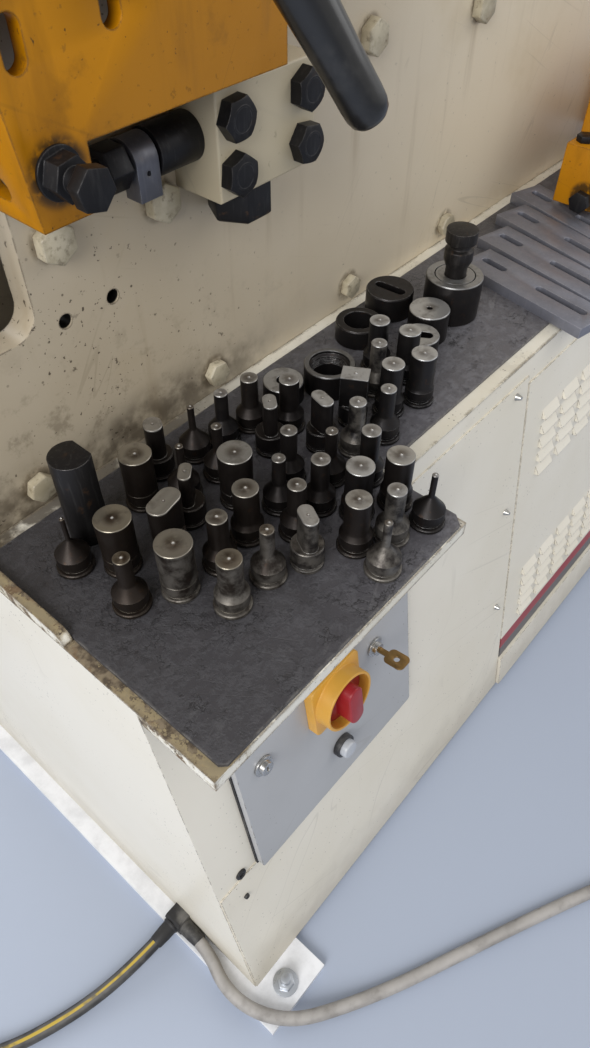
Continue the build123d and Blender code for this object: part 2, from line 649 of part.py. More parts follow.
# Hold-down: channel of thick plate standing off the frame, notched over the cross screw
HOLD_FRONT_Y = -100.0
HOLD_WEB = 15.0
HOLD_FLANGE = 14.0
HOLD_BACK_Y = -0.3
HOLD_LOW = HOLD_NOTCH_Z - 52.0
HOLD_LEFT_LOW_X = 130.0
HOLD_LEFT_TOP_X = 104.0
HOLD_NOTCH_X = 183.0
HOLD_RIGHT_X = 406.0
HOLD_SLOT_WIDTH = 18.0
HOLD_SLOT_LENGTH = 90.0
HOLD_SLOT_LOW = HOLD_TOP - 114.0
SLOT_BOLT_X = 222.0
SLOT_BOLT_Z = HOLD_SLOT_LOW + 42.0
SIDE_SLOT_X = 140.0
SIDE_SLOT_Z = HOLD_SLOT_LOW + 8.0
END_SLOT_Y = -52.0
END_SLOT_Z = HOLD_LOW + 24.0
END_SLOT_DEPTH = 45.0
JACK_BOLT_X = 153.0
JACK_BOLT_Z = HOLD_LOW + 39.0

with BuildPart() as hold_down:
    with BuildSketch(side_plane(HOLD_BACK_Y)):
        with BuildLine():
            Polyline(
                (HOLD_LEFT_LOW_X, HOLD_LOW),
                (HOLD_NOTCH_X, HOLD_LOW),
                (HOLD_NOTCH_X, HOLD_NOTCH_Z),
                (HOLD_RIGHT_X, HOLD_NOTCH_Z),
                (HOLD_RIGHT_X, HOLD_TOP),
                (HOLD_LEFT_TOP_X, HOLD_TOP),
                close=True,
            )
        make_face()
    extrude(amount=HOLD_BACK_Y - HOLD_FRONT_Y)
    with BuildSketch(side_plane(HOLD_BACK_Y)):
        with BuildLine():
            Polyline(
                (HOLD_LEFT_LOW_X + HOLD_FLANGE, HOLD_LOW),
                (HOLD_NOTCH_X, HOLD_LOW),
                (HOLD_NOTCH_X, HOLD_NOTCH_Z),
                (HOLD_RIGHT_X - HOLD_FLANGE, HOLD_NOTCH_Z),
                (HOLD_RIGHT_X - HOLD_FLANGE, HOLD_TOP - HOLD_FLANGE),
                (HOLD_LEFT_TOP_X + HOLD_FLANGE, HOLD_TOP - HOLD_FLANGE),
                close=True,
            )
        make_face()
    extrude(amount=HOLD_BACK_Y - HOLD_FRONT_Y - HOLD_WEB, mode=Mode.SUBTRACT)
    with BuildSketch(side_plane(HOLD_FRONT_Y)):
        with Locations((SLOT_BOLT_X, HOLD_SLOT_LOW + HOLD_SLOT_LENGTH / 2)):
            SlotOverall(HOLD_SLOT_LENGTH, HOLD_SLOT_WIDTH, rotation=90)
        with Locations((SIDE_SLOT_X, SIDE_SLOT_Z)):
            SlotOverall(2 * HOLD_SLOT_WIDTH, HOLD_SLOT_WIDTH, rotation=90)
    extrude(amount=-HOLD_WEB, mode=Mode.SUBTRACT)
    with BuildSketch(end_plane(HOLD_LEFT_TOP_X)):
        with Locations((END_SLOT_Y, END_SLOT_Z)):
            SlotOverall(2 * HOLD_SLOT_WIDTH, HOLD_SLOT_WIDTH)
    extrude(amount=END_SLOT_DEPTH, mode=Mode.SUBTRACT)
hold_down.part.label = "hold_down"
export_step(hold_down.part, "parts/hold_down.step")

# Jack bolt of the hold-down: washer, lock nut, thread and head
JACK_WASHER = 40.0
JACK_NUT = 16.0
JACK_BOLT_OUT = 32.0
JACK_WASHER_THICKNESS = 3.0
JACK_NUT_TURN = 10.0
JACK_HEAD_TURN = -14.0
M20_THREAD = 20.0

with BuildPart() as jack_bolt:
    with BuildSketch(side_plane(HOLD_FRONT_Y)):
        with Locations((JACK_BOLT_X, JACK_BOLT_Z)):
            Circle(JACK_WASHER / 2)
    extrude(amount=JACK_WASHER_THICKNESS)
    with BuildSketch(side_plane(HOLD_FRONT_Y - JACK_WASHER_THICKNESS)):
        with Locations((JACK_BOLT_X, JACK_BOLT_Z)):
            RegularPolygon(hex_radius(M20_FLATS), 6, rotation=JACK_NUT_TURN)
    extrude(amount=JACK_NUT)
    with BuildSketch(side_plane(HOLD_FRONT_Y)):
        with Locations((JACK_BOLT_X, JACK_BOLT_Z)):
            Circle(M20_THREAD / 2)
    extrude(amount=JACK_BOLT_OUT)
    with BuildSketch(side_plane(HOLD_FRONT_Y - JACK_BOLT_OUT)):
        with Locations((JACK_BOLT_X, JACK_BOLT_Z)):
            RegularPolygon(hex_radius(M20_FLATS), 6, rotation=JACK_HEAD_TURN)
    extrude(amount=M20_HEAD)
jack_bolt.part.label = "jack_bolt"
export_step(jack_bolt.part, "parts/jack_bolt.step")

# Work support of the right-hand station: a stepped bracket that slides on the plate
SUPPORT_LEFT = 1087.0
SUPPORT_RIGHT = PUNCH_X - 88.0
SUPPORT_LOW = 790.0
SUPPORT_SHELF_Z = SUPPORT_LOW + 93.0
SUPPORT_TOP = SUPPORT_SHELF_Z + 102.0
SUPPORT_FRONT_Y = -170.0
SUPPORT_BACK_Y = -96.0
SUPPORT_SHELF_LENGTH = 44.0
SUPPORT_BLADE = 24.0
SUPPORT_FACE_GAP = 0.3
SUPPORT_PAD = 26.0
SUPPORT_PAD_WIDTH = 48.0
SUPPORT_PAD_TOP = SUPPORT_SHELF_Z + 42.0
SUPPORT_ARM = 22.0
SUPPORT_ARM_LOW = SUPPORT_LOW + 18.0
SUPPORT_SLOT_LENGTH = 60.0
SUPPORT_SLOT_Z = SUPPORT_PAD_TOP - 46.0
SUPPORT_CLAMP_X = SUPPORT_RIGHT - SUPPORT_PAD_WIDTH / 2
SUPPORT_CLAMP_Z = SUPPORT_SLOT_Z + 14.0
SUPPORT_BOLT_Y = -148.0
SUPPORT_BOLT_Z = SUPPORT_LOW + 18.0
SUPPORT_BOLT_OUT = 10.0
SHELF_BOLT_X = SUPPORT_LEFT + 24.0
SHELF_BOLT_Y = SUPPORT_BACK_Y - 18.0

with BuildPart() as work_support:
    with BuildSketch(end_plane(SUPPORT_LEFT)):
        with Locations(((SUPPORT_FRONT_Y + SUPPORT_BACK_Y) / 2, (SUPPORT_LOW + SUPPORT_SHELF_Z) / 2)):
            Rectangle(SUPPORT_BACK_Y - SUPPORT_FRONT_Y, SUPPORT_SHELF_Z - SUPPORT_LOW)
    extrude(amount=SUPPORT_RIGHT - SUPPORT_LEFT)
    with BuildSketch(end_plane(SUPPORT_LEFT + SUPPORT_SHELF_LENGTH)):
        with Locations((SUPPORT_BACK_Y - SUPPORT_BLADE / 2, (SUPPORT_LOW + SUPPORT_TOP) / 2)):
            Rectangle(SUPPORT_BLADE, SUPPORT_TOP - SUPPORT_LOW)
    extrude(amount=SUPPORT_RIGHT - SUPPORT_LEFT - SUPPORT_SHELF_LENGTH)
    with BuildSketch(end_plane(SUPPORT_RIGHT - SUPPORT_PAD_WIDTH)):
        with BuildLine():
            Polyline(
                (SUPPORT_BACK_Y - SUPPORT_BLADE, SUPPORT_ARM_LOW),
                (-SUPPORT_FACE_GAP, SUPPORT_ARM_LOW),
                (-SUPPORT_FACE_GAP, SUPPORT_PAD_TOP),
                (-SUPPORT_FACE_GAP - SUPPORT_PAD, SUPPORT_PAD_TOP),
                (-SUPPORT_FACE_GAP - SUPPORT_PAD, SUPPORT_ARM_LOW + SUPPORT_ARM),
                (SUPPORT_BACK_Y - SUPPORT_BLADE, SUPPORT_ARM_LOW + SUPPORT_ARM),
                close=True,
            )
        make_face()
    extrude(amount=SUPPORT_PAD_WIDTH)
    with BuildSketch(side_plane(-SUPPORT_FACE_GAP - SUPPORT_PAD)):
        with Locations((SUPPORT_CLAMP_X, SUPPORT_SLOT_Z)):
            SlotOverall(SUPPORT_SLOT_LENGTH, HOLD_SLOT_WIDTH, rotation=90)
    extrude(amount=-SUPPORT_PAD, mode=Mode.SUBTRACT)
work_support.part.label = "work_support"
export_step(work_support.part, "parts/work_support.step")

# Bolts of the work support: one in its left end and one down through the shelf
with BuildPart() as support_bolt:
    with BuildSketch(end_plane(SUPPORT_LEFT)):
        with Locations((SUPPORT_BOLT_Y, SUPPORT_BOLT_Z)):
            Circle(M20_THREAD / 2)
    extrude(amount=-SUPPORT_BOLT_OUT)
    with BuildSketch(end_plane(SUPPORT_LEFT - SUPPORT_BOLT_OUT)):
        with Locations((SUPPORT_BOLT_Y, SUPPORT_BOLT_Z)):
            RegularPolygon(hex_radius(M20_FLATS), 6, rotation=JACK_NUT_TURN)
    extrude(amount=-M20_HEAD)
    with BuildSketch(Plane.XY.offset(SUPPORT_SHELF_Z)):
        with Locations((SHELF_BOLT_X, SHELF_BOLT_Y)):
            RegularPolygon(hex_radius(M16_FLATS), 6)
    extrude(amount=M16_HEAD)
support_bolt.part.label = "support_bolt"
export_step(support_bolt.part, "parts/support_bolt.step")

# Clamping bolts of both slides, fast in the frame plate: shank, washer and head
CLAMP_ROD = 16.0
CLAMP_WASHER = 37.0
CLAMP_WASHER_THICKNESS = 5.0
CLAMP_PLAY = 0.3
CLAMPS = (
    (SLOT_BOLT_X, SLOT_BOLT_Z, -HOLD_FRONT_Y + CLAMP_PLAY),
    (SUPPORT_CLAMP_X, SUPPORT_CLAMP_Z, SUPPORT_PAD + SUPPORT_FACE_GAP + CLAMP_PLAY),
)

with BuildPart() as clamp_bolts:
    for clamp_x, clamp_z, reach in CLAMPS:
        with BuildSketch(side_plane(0)):
            with Locations((clamp_x, clamp_z)):
                Circle(CLAMP_ROD / 2)
        extrude(amount=reach)
        with BuildSketch(side_plane(-reach)):
            with Locations((clamp_x, clamp_z)):
                Circle(CLAMP_WASHER / 2)
        extrude(amount=CLAMP_WASHER_THICKNESS)
        with BuildSketch(side_plane(-reach - CLAMP_WASHER_THICKNESS)):
            with Locations((clamp_x, clamp_z)):
                RegularPolygon(hex_radius(M16_FLATS), 6)
        extrude(amount=M16_HEAD)
clamp_bolts.part.label = "clamp_bolts"
export_step(clamp_bolts.part, "parts/clamp_bolts.step")

# Hand lever: pin and hub on the frame plate, straight rod and a tapered grip
LEVER_HUB_X = 222.0
LEVER_HUB_RISE = 65.0
LEVER_HUB_Z = HOLD_TOP + LEVER_HUB_RISE
LEVER_HUB = 50.0
LEVER_PIN = 20.0
LEVER_BOSS_Y = -122.0
LEVER_HUB_Y = -166.0
LEVER_PLAY = 0.3
LEVER_ROD = 18.0
GRIP_TIP = (LEVER_HUB_X + 117.0, -245.0, LEVER_HUB_Z - 237.0)
GRIP_TIP_DIAMETER = 36.0
GRIP_TOP_DIAMETER = 42.0
GRIP_LENGTH = 170.0
GRIP_END_FLAT = 8.0
ROD_START = Vector(LEVER_HUB_X, (LEVER_BOSS_Y + LEVER_HUB_Y) / 2, LEVER_HUB_Z)
LEVER_LINE = (Vector(*GRIP_TIP) - ROD_START).normalized()
GRIP_START = Vector(*GRIP_TIP) - LEVER_LINE * GRIP_LENGTH

with BuildPart() as lever_pin:
    with BuildSketch(side_plane(0)):
        with Locations((LEVER_HUB_X, LEVER_HUB_Z)):
            Circle(LEVER_HUB / 2)
    extrude(amount=-LEVER_BOSS_Y)
    with BuildSketch(side_plane(LEVER_BOSS_Y)):
        with Locations((LEVER_HUB_X, LEVER_HUB_Z)):
            Circle(LEVER_PIN / 2)
    extrude(amount=LEVER_BOSS_Y - LEVER_HUB_Y + 2 * LEVER_PLAY)
    with BuildSketch(side_plane(LEVER_HUB_Y - 2 * LEVER_PLAY)):
        with Locations((LEVER_HUB_X, LEVER_HUB_Z)):
            RegularPolygon(hex_radius(M20_FLATS), 6)
    extrude(amount=M20_HEAD)
lever_pin.part.label = "lever_pin"
export_step(lever_pin.part, "parts/lever_pin.step")

with BuildPart() as hand_lever:
    with BuildSketch(Plane(origin=ROD_START, z_dir=LEVER_LINE)):
        Circle(LEVER_ROD / 2)
    extrude(amount=(GRIP_START - ROD_START).length)
    with BuildSketch(side_plane(LEVER_BOSS_Y - LEVER_PLAY)):
        with Locations((LEVER_HUB_X, LEVER_HUB_Z)):
            Circle(LEVER_HUB / 2)
    extrude(amount=LEVER_BOSS_Y - LEVER_HUB_Y)
    with BuildSketch(side_plane(LEVER_BOSS_Y)):
        with Locations((LEVER_HUB_X, LEVER_HUB_Z)):
            Circle(LEVER_PIN / 2 + RUNNING_FIT)
    extrude(amount=LEVER_HUB, mode=Mode.SUBTRACT)
hand_lever.part.label = "hand_lever"
export_step(hand_lever.part, "parts/hand_lever.step")

with BuildPart() as lever_grip:
    grip_side = LEVER_LINE.cross(Vector(0, 1, 0)).normalized()
    with BuildSketch(Plane(origin=GRIP_START, x_dir=grip_side, z_dir=grip_side.cross(LEVER_LINE))):
        with BuildLine():
            Polyline(
                (0, GRIP_LENGTH),
                (0, 0),
                (GRIP_TOP_DIAMETER / 2, 0),
                (GRIP_TIP_DIAMETER / 2, GRIP_LENGTH),
                close=True,
            )
        make_face()
    revolve(axis=Axis(GRIP_START, LEVER_LINE))
    grip_end = lever_grip.edges().filter_by(GeomType.CIRCLE).sort_by(Axis.Z)[0]
    fillet(grip_end, radius=(GRIP_TIP_DIAMETER - GRIP_END_FLAT) / 2)
lever_grip.part.label = "lever_grip"
export_step(lever_grip.part, "parts/lever_grip.step")

# Slotted gauge bars lying on the mat, fanned out
BAR_THICKNESS = 16.0
BAR_WIDTH = 66.0
BAR_LENGTH = 228.0
BAR_SLOT_WIDTH = 13.0
BAR_SLOT_X = 36.0
BAR_LONG_SLOT = 91.0
BAR_LONG_SLOT_Y = 64.0
BAR_SHORT_SLOT = 46.0
BAR_SHORT_SLOT_Y = 191.0
BAR_CORNERS = ((785.0, -305.0), (862.0, -283.0), (940.0, -262.0), (1018.0, -238.0))
BAR_TURNS = (11.0, 13.0, 15.5, 17.5)

with BuildPart() as gauge_bars:
    for (bar_x, bar_y), turn in zip(BAR_CORNERS, BAR_TURNS):
        bar_plane = Plane(origin=(bar_x, bar_y, MAT_TOP), z_dir=(0, 0, 1)).rotated((0, 0, -turn))
        with BuildSketch(bar_plane):
            with Locations((BAR_WIDTH / 2, BAR_LENGTH / 2)):
                Rectangle(BAR_WIDTH, BAR_LENGTH)
            with Locations((BAR_SLOT_X, BAR_LONG_SLOT_Y)):
                SlotOverall(BAR_LONG_SLOT, BAR_SLOT_WIDTH, rotation=90, mode=Mode.SUBTRACT)
            with Locations((BAR_SLOT_X, BAR_SHORT_SLOT_Y)):
                SlotOverall(BAR_SHORT_SLOT, BAR_SLOT_WIDTH, rotation=90, mode=Mode.SUBTRACT)
        extrude(amount=BAR_THICKNESS)
gauge_bars.part.label = "gauge_bars"
export_step(gauge_bars.part, "parts/gauge_bars.step")

# Electrical door: folded tray of sheet standing on a gasket, hinged along its foot
GASKET_THICKNESS = 4.0
GASKET_OVERHANG = 1.5
GASKET_WIDTH = 10.0
DOOR_STANDOFF = 4.3
DOOR_DEPTH = 10.0
DOOR_SHEET = 2.0
DOOR_CORNER = 5.0
DOOR_WIDTH = DOOR_X[1] - DOOR_X[0]
DOOR_HEIGHT = up_slope(DOOR_Z[1]) - up_slope(DOOR_Z[0])
DOOR_CENTRE = ((DOOR_X[0] + DOOR_X[1]) / 2, up_slope(DOOR_Z[0]) + DOOR_HEIGHT / 2)
DOOR_FACE = DOOR_STANDOFF + DOOR_DEPTH
LATCH_Z = 536.0
LEFT_LATCH_X = 108.0
RIGHT_LATCH_X = 322.0
LATCH_HOLE = 22.0
SWITCH_X = 231.0
SWITCH_Z = 548.0
SWITCH_HOLE = 26.0
BUTTON_X = 240.0
BUTTON_Z = 412.0
BUTTON_HOLE = 22.0
LATCH_PLACES = [(x, up_slope(LATCH_Z)) for x in (LEFT_LATCH_X, RIGHT_LATCH_X)]

with BuildPart() as electrical_door:
    with BuildSketch(front_plane(DOOR_STANDOFF)):
        with Locations(DOOR_CENTRE):
            RectangleRounded(DOOR_WIDTH, DOOR_HEIGHT, DOOR_CORNER)
    extrude(amount=DOOR_DEPTH)
    with BuildSketch(front_plane(DOOR_STANDOFF)):
        with Locations(DOOR_CENTRE):
            Rectangle(DOOR_WIDTH - 2 * DOOR_SHEET, DOOR_HEIGHT - 2 * DOOR_SHEET)
    extrude(amount=DOOR_DEPTH - DOOR_SHEET, mode=Mode.SUBTRACT)
    with BuildSketch(front_plane(DOOR_FACE)):
        with Locations(*LATCH_PLACES):
            Circle(LATCH_HOLE / 2)
        with Locations((SWITCH_X, up_slope(SWITCH_Z))):
            Circle(SWITCH_HOLE / 2)
        with Locations((BUTTON_X, up_slope(BUTTON_Z))):
            Circle(BUTTON_HOLE / 2)
    extrude(amount=-2 * DOOR_SHEET, mode=Mode.SUBTRACT)
electrical_door.part.label = "electrical_door"
export_step(electrical_door.part, "parts/electrical_door.step")

with BuildPart() as door_gasket:
    with BuildSketch(front_plane()):
        with Locations(DOOR_CENTRE):
            Rectangle(DOOR_WIDTH + 2 * GASKET_OVERHANG, DOOR_HEIGHT + 2 * GASKET_OVERHANG)
            Rectangle(DOOR_WIDTH - 2 * GASKET_WIDTH, DOOR_HEIGHT - 2 * GASKET_WIDTH, mode=Mode.SUBTRACT)
    extrude(amount=GASKET_THICKNESS)
door_gasket.part.label = "door_gasket"
export_step(door_gasket.part, "parts/door_gasket.step")

# Main switch: square plate with a round collar, and a knob that turns in it
SWITCH_PLATE = 88.0
SWITCH_PLATE_THICKNESS = 14.0
SWITCH_COLLAR = 82.0
SWITCH_COLLAR_WALL = 4.0
SWITCH_COLLAR_HEIGHT = 20.0
SWITCH_SHAFT = 16.0
SWITCH_PLATE_CORNER = 10.0
KNOB_LIFT = 0.4
STEM_INSET = 1.0
KNOB_DISC = SWITCH_COLLAR - 2 * SWITCH_COLLAR_WALL - 1.0
KNOB_DISC_THICKNESS = 6.0
KNOB_BAR_WIDTH = 24.0
KNOB_BAR_LENGTH = 62.0
KNOB_BAR_HEIGHT = 24.0
SWITCH_CENTRE = (SWITCH_X, up_slope(SWITCH_Z))
COLLAR_BASE = DOOR_FACE + SWITCH_PLATE_THICKNESS

with BuildPart() as switch_plate:
    with BuildSketch(front_plane(DOOR_FACE)):
        with Locations(SWITCH_CENTRE):
            RectangleRounded(SWITCH_PLATE, SWITCH_PLATE, SWITCH_PLATE_CORNER)
    extrude(amount=SWITCH_PLATE_THICKNESS)
    with BuildSketch(front_plane(COLLAR_BASE)):
        with Locations(SWITCH_CENTRE):
            Circle(SWITCH_COLLAR / 2)
            Circle(SWITCH_COLLAR / 2 - SWITCH_COLLAR_WALL, mode=Mode.SUBTRACT)
    extrude(amount=SWITCH_COLLAR_HEIGHT)
    with BuildSketch(front_plane(DOOR_FACE)):
        with Locations(SWITCH_CENTRE):
            Circle(SWITCH_SHAFT / 2 + RUNNING_FIT)
    extrude(amount=SWITCH_PLATE_THICKNESS, mode=Mode.SUBTRACT)
switch_plate.part.label = "switch_plate"
export_step(switch_plate.part, "parts/switch_plate.step")

with BuildPart() as switch_knob:
    with BuildSketch(front_plane(COLLAR_BASE + KNOB_LIFT)):
        with Locations(SWITCH_CENTRE):
            Circle(KNOB_DISC / 2)
    extrude(amount=KNOB_DISC_THICKNESS)
    with BuildSketch(front_plane(COLLAR_BASE + KNOB_LIFT + KNOB_DISC_THICKNESS)):
        with Locations(SWITCH_CENTRE):
            SlotOverall(KNOB_BAR_LENGTH, KNOB_BAR_WIDTH, rotation=90)
    extrude(amount=KNOB_BAR_HEIGHT)
    with BuildSketch(front_plane(DOOR_STANDOFF + STEM_INSET)):
        with Locations(SWITCH_CENTRE):
            Circle(SWITCH_SHAFT / 2)
    extrude(amount=COLLAR_BASE - DOOR_STANDOFF)
switch_knob.part.label = "switch_knob"
export_step(switch_knob.part, "parts/switch_knob.step")

# Push button with its collar
BUTTON_COLLAR = 34.0
BUTTON_COLLAR_HEIGHT = 9.0
BUTTON_CAP = 26.0
BUTTON_CAP_OUT = 18.0
BUTTON_STEM = 14.0
BUTTON_CAP_LIFT = 4.5
BUTTON_STEM_INSET = 6.0
BUTTON_CENTRE = (BUTTON_X, up_slope(BUTTON_Z))

with BuildPart() as button_collar:
    with BuildSketch(front_plane(DOOR_FACE)):
        with Locations(BUTTON_CENTRE):
            Circle(BUTTON_COLLAR / 2)
            Circle(BUTTON_CAP / 2 + RUNNING_FIT, mode=Mode.SUBTRACT)
    extrude(amount=BUTTON_COLLAR_HEIGHT)
button_collar.part.label = "button_collar"
export_step(button_collar.part, "parts/button_collar.step")

with BuildPart() as button_cap:
    with BuildSketch(front_plane(DOOR_FACE + BUTTON_CAP_LIFT)):
        with Locations(BUTTON_CENTRE):
            Circle(BUTTON_CAP / 2)
    extrude(amount=BUTTON_CAP_OUT - BUTTON_CAP_LIFT)
    with BuildSketch(front_plane(DOOR_FACE - BUTTON_STEM_INSET)):
        with Locations(BUTTON_CENTRE):
            Circle(BUTTON_STEM / 2)
    extrude(amount=BUTTON_CAP_OUT)
button_cap.part.label = "button_cap"
export_step(button_cap.part, "parts/button_cap.step")

# Quarter-turn latches: cylinder, flange and the cam that reaches behind the opening's edge
LATCH_FLANGE = 28.0
LATCH_FLANGE_THICKNESS = 3.0
LATCH_CORE = 18.0
LATCH_OUT = 9.0
LATCH_LIFT = 0.3
LATCH_FIT_DIAMETER = LATCH_HOLE - 2 * RUNNING_FIT
KEY_SLOT = 3.0
KEY_SLOT_LENGTH = 9.0

with BuildPart() as left_latch:
    with BuildSketch(front_plane(DOOR_FACE + LATCH_LIFT)):
        with Locations(LATCH_PLACES[0]):
            Circle(LATCH_FLANGE / 2)
    extrude(amount=LATCH_FLANGE_THICKNESS)
    with BuildSketch(front_plane(DOOR_STANDOFF + STEM_INSET)):
        with Locations(LATCH_PLACES[0]):
            Circle(LATCH_FIT_DIAMETER / 2)
    extrude(amount=DOOR_DEPTH)
    with BuildSketch(front_plane(DOOR_FACE + LATCH_LIFT + LATCH_FLANGE_THICKNESS)):
        with Locations(LATCH_PLACES[0]):
            Circle(LATCH_CORE / 2)
            Rectangle(KEY_SLOT, KEY_SLOT_LENGTH, mode=Mode.SUBTRACT)
    extrude(amount=LATCH_OUT - LATCH_FLANGE_THICKNESS)
left_latch.part.label = "left_latch"
export_step(left_latch.part, "parts/left_latch.step")

with BuildPart() as right_latch:
    with BuildSketch(front_plane(DOOR_FACE + LATCH_LIFT)):
        with Locations(LATCH_PLACES[1]):
            Circle(LATCH_FLANGE / 2)
    extrude(amount=LATCH_FLANGE_THICKNESS)
    with BuildSketch(front_plane(DOOR_STANDOFF + STEM_INSET)):
        with Locations(LATCH_PLACES[1]):
            Circle(LATCH_FIT_DIAMETER / 2)
    extrude(amount=DOOR_DEPTH)
    with BuildSketch(front_plane(DOOR_FACE + LATCH_LIFT + LATCH_FLANGE_THICKNESS)):
        with Locations(LATCH_PLACES[1]):
            Circle(LATCH_CORE / 2)
    extrude(amount=LATCH_OUT - LATCH_FLANGE_THICKNESS)
right_latch.part.label = "right_latch"
export_step(right_latch.part, "parts/right_latch.step")

# Key in the right-hand latch: blade, bow with a hole
KEY_THICKNESS = 2.5
KEY_BLADE = 12.0
KEY_BOW = 24.0
KEY_BOW_HEIGHT = 30.0
KEY_BLADE_WIDTH = 8.4
KEY_BOW_CORNER = 7.0
KEY_RING_HOLE = 8.0
KEY_BASE = DOOR_FACE + LATCH_LIFT + LATCH_OUT

with BuildPart() as key:
    key_origin = front_plane(KEY_BASE).from_local_coords(
        Vector(LATCH_PLACES[1][0], LATCH_PLACES[1][1] - KEY_THICKNESS / 2, 0)
    )
    key_plane = Plane(origin=key_origin, x_dir=(1, 0, 0), z_dir=(0, LEAN_SIN, LEAN_COS))
    with BuildSketch(key_plane):
        with Locations((0, -KEY_BLADE / 2)):
            Rectangle(KEY_BLADE_WIDTH, KEY_BLADE)
        with Locations((0, -KEY_BLADE - KEY_BOW_HEIGHT / 2)):
            RectangleRounded(KEY_BOW, KEY_BOW_HEIGHT, KEY_BOW_CORNER)
            Circle(KEY_RING_HOLE / 2, mode=Mode.SUBTRACT)
    extrude(amount=KEY_THICKNESS)
key.part.label = "key"
export_step(key.part, "parts/key.step")

# Rocking beam between the plates, with the pivot pin, the jack and the punch ram
BEAM_THICKNESS = 60.0
BEAM_FRONT_Y = FRAME_MID_Y - BEAM_THICKNESS / 2
BEAM_END_X = PUNCH_X + 52.0
BEAM_BLADE_RUN = 40.0
BEAM_BELLY_RIGHT = 560.0
BEAM_NOSE_RUN = 100.0
BEAM_NOSE_HALF = 32.0
BEAM_CREST_RIGHT = 500.0
BEAM_CREST_RIGHT_RISE = 90.0
BEAM_CREST_LEFT = 100.0
BEAM_CREST_LEFT_RISE = 110.0
BEAM_TAIL_DROP = 60.0
FORK_SLOT = 26.0
FORK_ROOT = 40.0
FORK_LENGTH = 120.0
FORK_CUT_HALF = 60.0
RAM_PIN = 24.0
RAM_SLOT_LENGTH = 52.8
RAM_PIN_PLAY = 0.1

with BuildPart() as rocking_beam:
    with BuildSketch(side_plane(BEAM_FRONT_Y)):
        with BuildLine():
            Polyline(
                (BLADE_LEFT, BEAM_LEFT_LOW),
                (BLADE_RIGHT, BEAM_LEFT_LOW),
                (BLADE_RIGHT + BEAM_BLADE_RUN, BEAM_LOW),
                (PIVOT_X + BEAM_BELLY_RIGHT, BEAM_LOW),
                (PUNCH_X - BEAM_NOSE_RUN, PIVOT_Z - BEAM_NOSE_HALF),
                (BEAM_END_X, PIVOT_Z - BEAM_NOSE_HALF),
                (BEAM_END_X, PIVOT_Z + BEAM_NOSE_HALF),
                (PIVOT_X + BEAM_CREST_RIGHT, PIVOT_Z + BEAM_CREST_RIGHT_RISE),
                (PIVOT_X - BEAM_CREST_LEFT, PIVOT_Z + BEAM_CREST_LEFT_RISE),
                (BLADE_LEFT, PIVOT_Z - BEAM_TAIL_DROP),
                close=True,
            )
        make_face()
        with Locations((PIVOT_X, PIVOT_Z)):
            Circle(PIVOT_PIN / 2 + RUNNING_FIT, mode=Mode.SUBTRACT)
        with Locations((PUNCH_X, PIVOT_Z)):
            SlotOverall(RAM_SLOT_LENGTH, RAM_PIN + 2 * RAM_PIN_PLAY, mode=Mode.SUBTRACT)
    extrude(amount=-BEAM_THICKNESS)
    with BuildSketch(Plane.XY.offset(PIVOT_Z - FORK_CUT_HALF)):
        with Locations((PUNCH_X - FORK_ROOT + FORK_LENGTH / 2, FRAME_MID_Y)):
            Rectangle(FORK_LENGTH, FORK_SLOT)
    extrude(amount=2 * FORK_CUT_HALF, mode=Mode.SUBTRACT)
rocking_beam.part.label = "rocking_beam"
export_step(rocking_beam.part, "parts/rocking_beam.step")

# Pivot pin through both plates and the beam
PIVOT_PIN_OUT = 12.0

with BuildPart() as pivot_pin:
    with BuildSketch(side_plane(-PIVOT_PIN_OUT)):
        with Locations((PIVOT_X, PIVOT_Z)):
            Circle(PIVOT_PIN / 2)
    extrude(amount=-(FRAME_BACK + 2 * PIVOT_PIN_OUT))
pivot_pin.part.label = "pivot_pin"
export_step(pivot_pin.part, "parts/pivot_pin.step")

# Hydraulic jack that stands on the long spacer and lifts the left arm of the beam
JACK_BARREL = 90.0
JACK_BORE_ROD = 50.0
JACK_FOOT_Z = FRAME_BOLT_Z + SPACER_BAR_HEIGHT / 2
JACK_BARREL_TOP = JACK_FOOT_Z + 169.0
JACK_GLAND = 70.0
JACK_GLAND_TOP = JACK_BARREL_TOP + 23.0
JACK_ROD_LOW = JACK_BARREL_TOP - 95.0
JACK_BORE_DEPTH = 5.0
JACK_CONTACT_GAP = 0.3
JACK_NOSE_FLAT = 2.0

with BuildPart() as jack_cylinder:
    with BuildSketch(Plane.XY.offset(JACK_FOOT_Z)):
        with Locations((JACK_X, FRAME_MID_Y)):
            Circle(JACK_BARREL / 2)
    extrude(amount=JACK_BARREL_TOP - JACK_FOOT_Z)
    with BuildSketch(Plane.XY.offset(JACK_BARREL_TOP)):
        with Locations((JACK_X, FRAME_MID_Y)):
            Circle(JACK_GLAND / 2)
    extrude(amount=JACK_GLAND_TOP - JACK_BARREL_TOP)
    with BuildSketch(Plane.XY.offset(JACK_ROD_LOW - JACK_BORE_DEPTH)):
        with Locations((JACK_X, FRAME_MID_Y)):
            Circle(JACK_BORE_ROD / 2 + RUNNING_FIT)
    extrude(amount=JACK_GLAND_TOP - JACK_ROD_LOW + JACK_BORE_DEPTH, mode=Mode.SUBTRACT)
jack_cylinder.part.label = "jack_cylinder"
export_step(jack_cylinder.part, "parts/jack_cylinder.step")

with BuildPart() as jack_rod:
    with BuildSketch(Plane.XY.offset(JACK_ROD_LOW)):
        with Locations((JACK_X, FRAME_MID_Y)):
            Circle(JACK_BORE_ROD / 2)
    extrude(amount=BEAM_LOW - JACK_CONTACT_GAP - JACK_ROD_LOW)
    fillet(jack_rod.edges().sort_by(Axis.Z)[-1], radius=(JACK_BORE_ROD - JACK_NOSE_FLAT) / 2)
jack_rod.part.label = "jack_rod"
export_step(jack_rod.part, "parts/jack_rod.step")

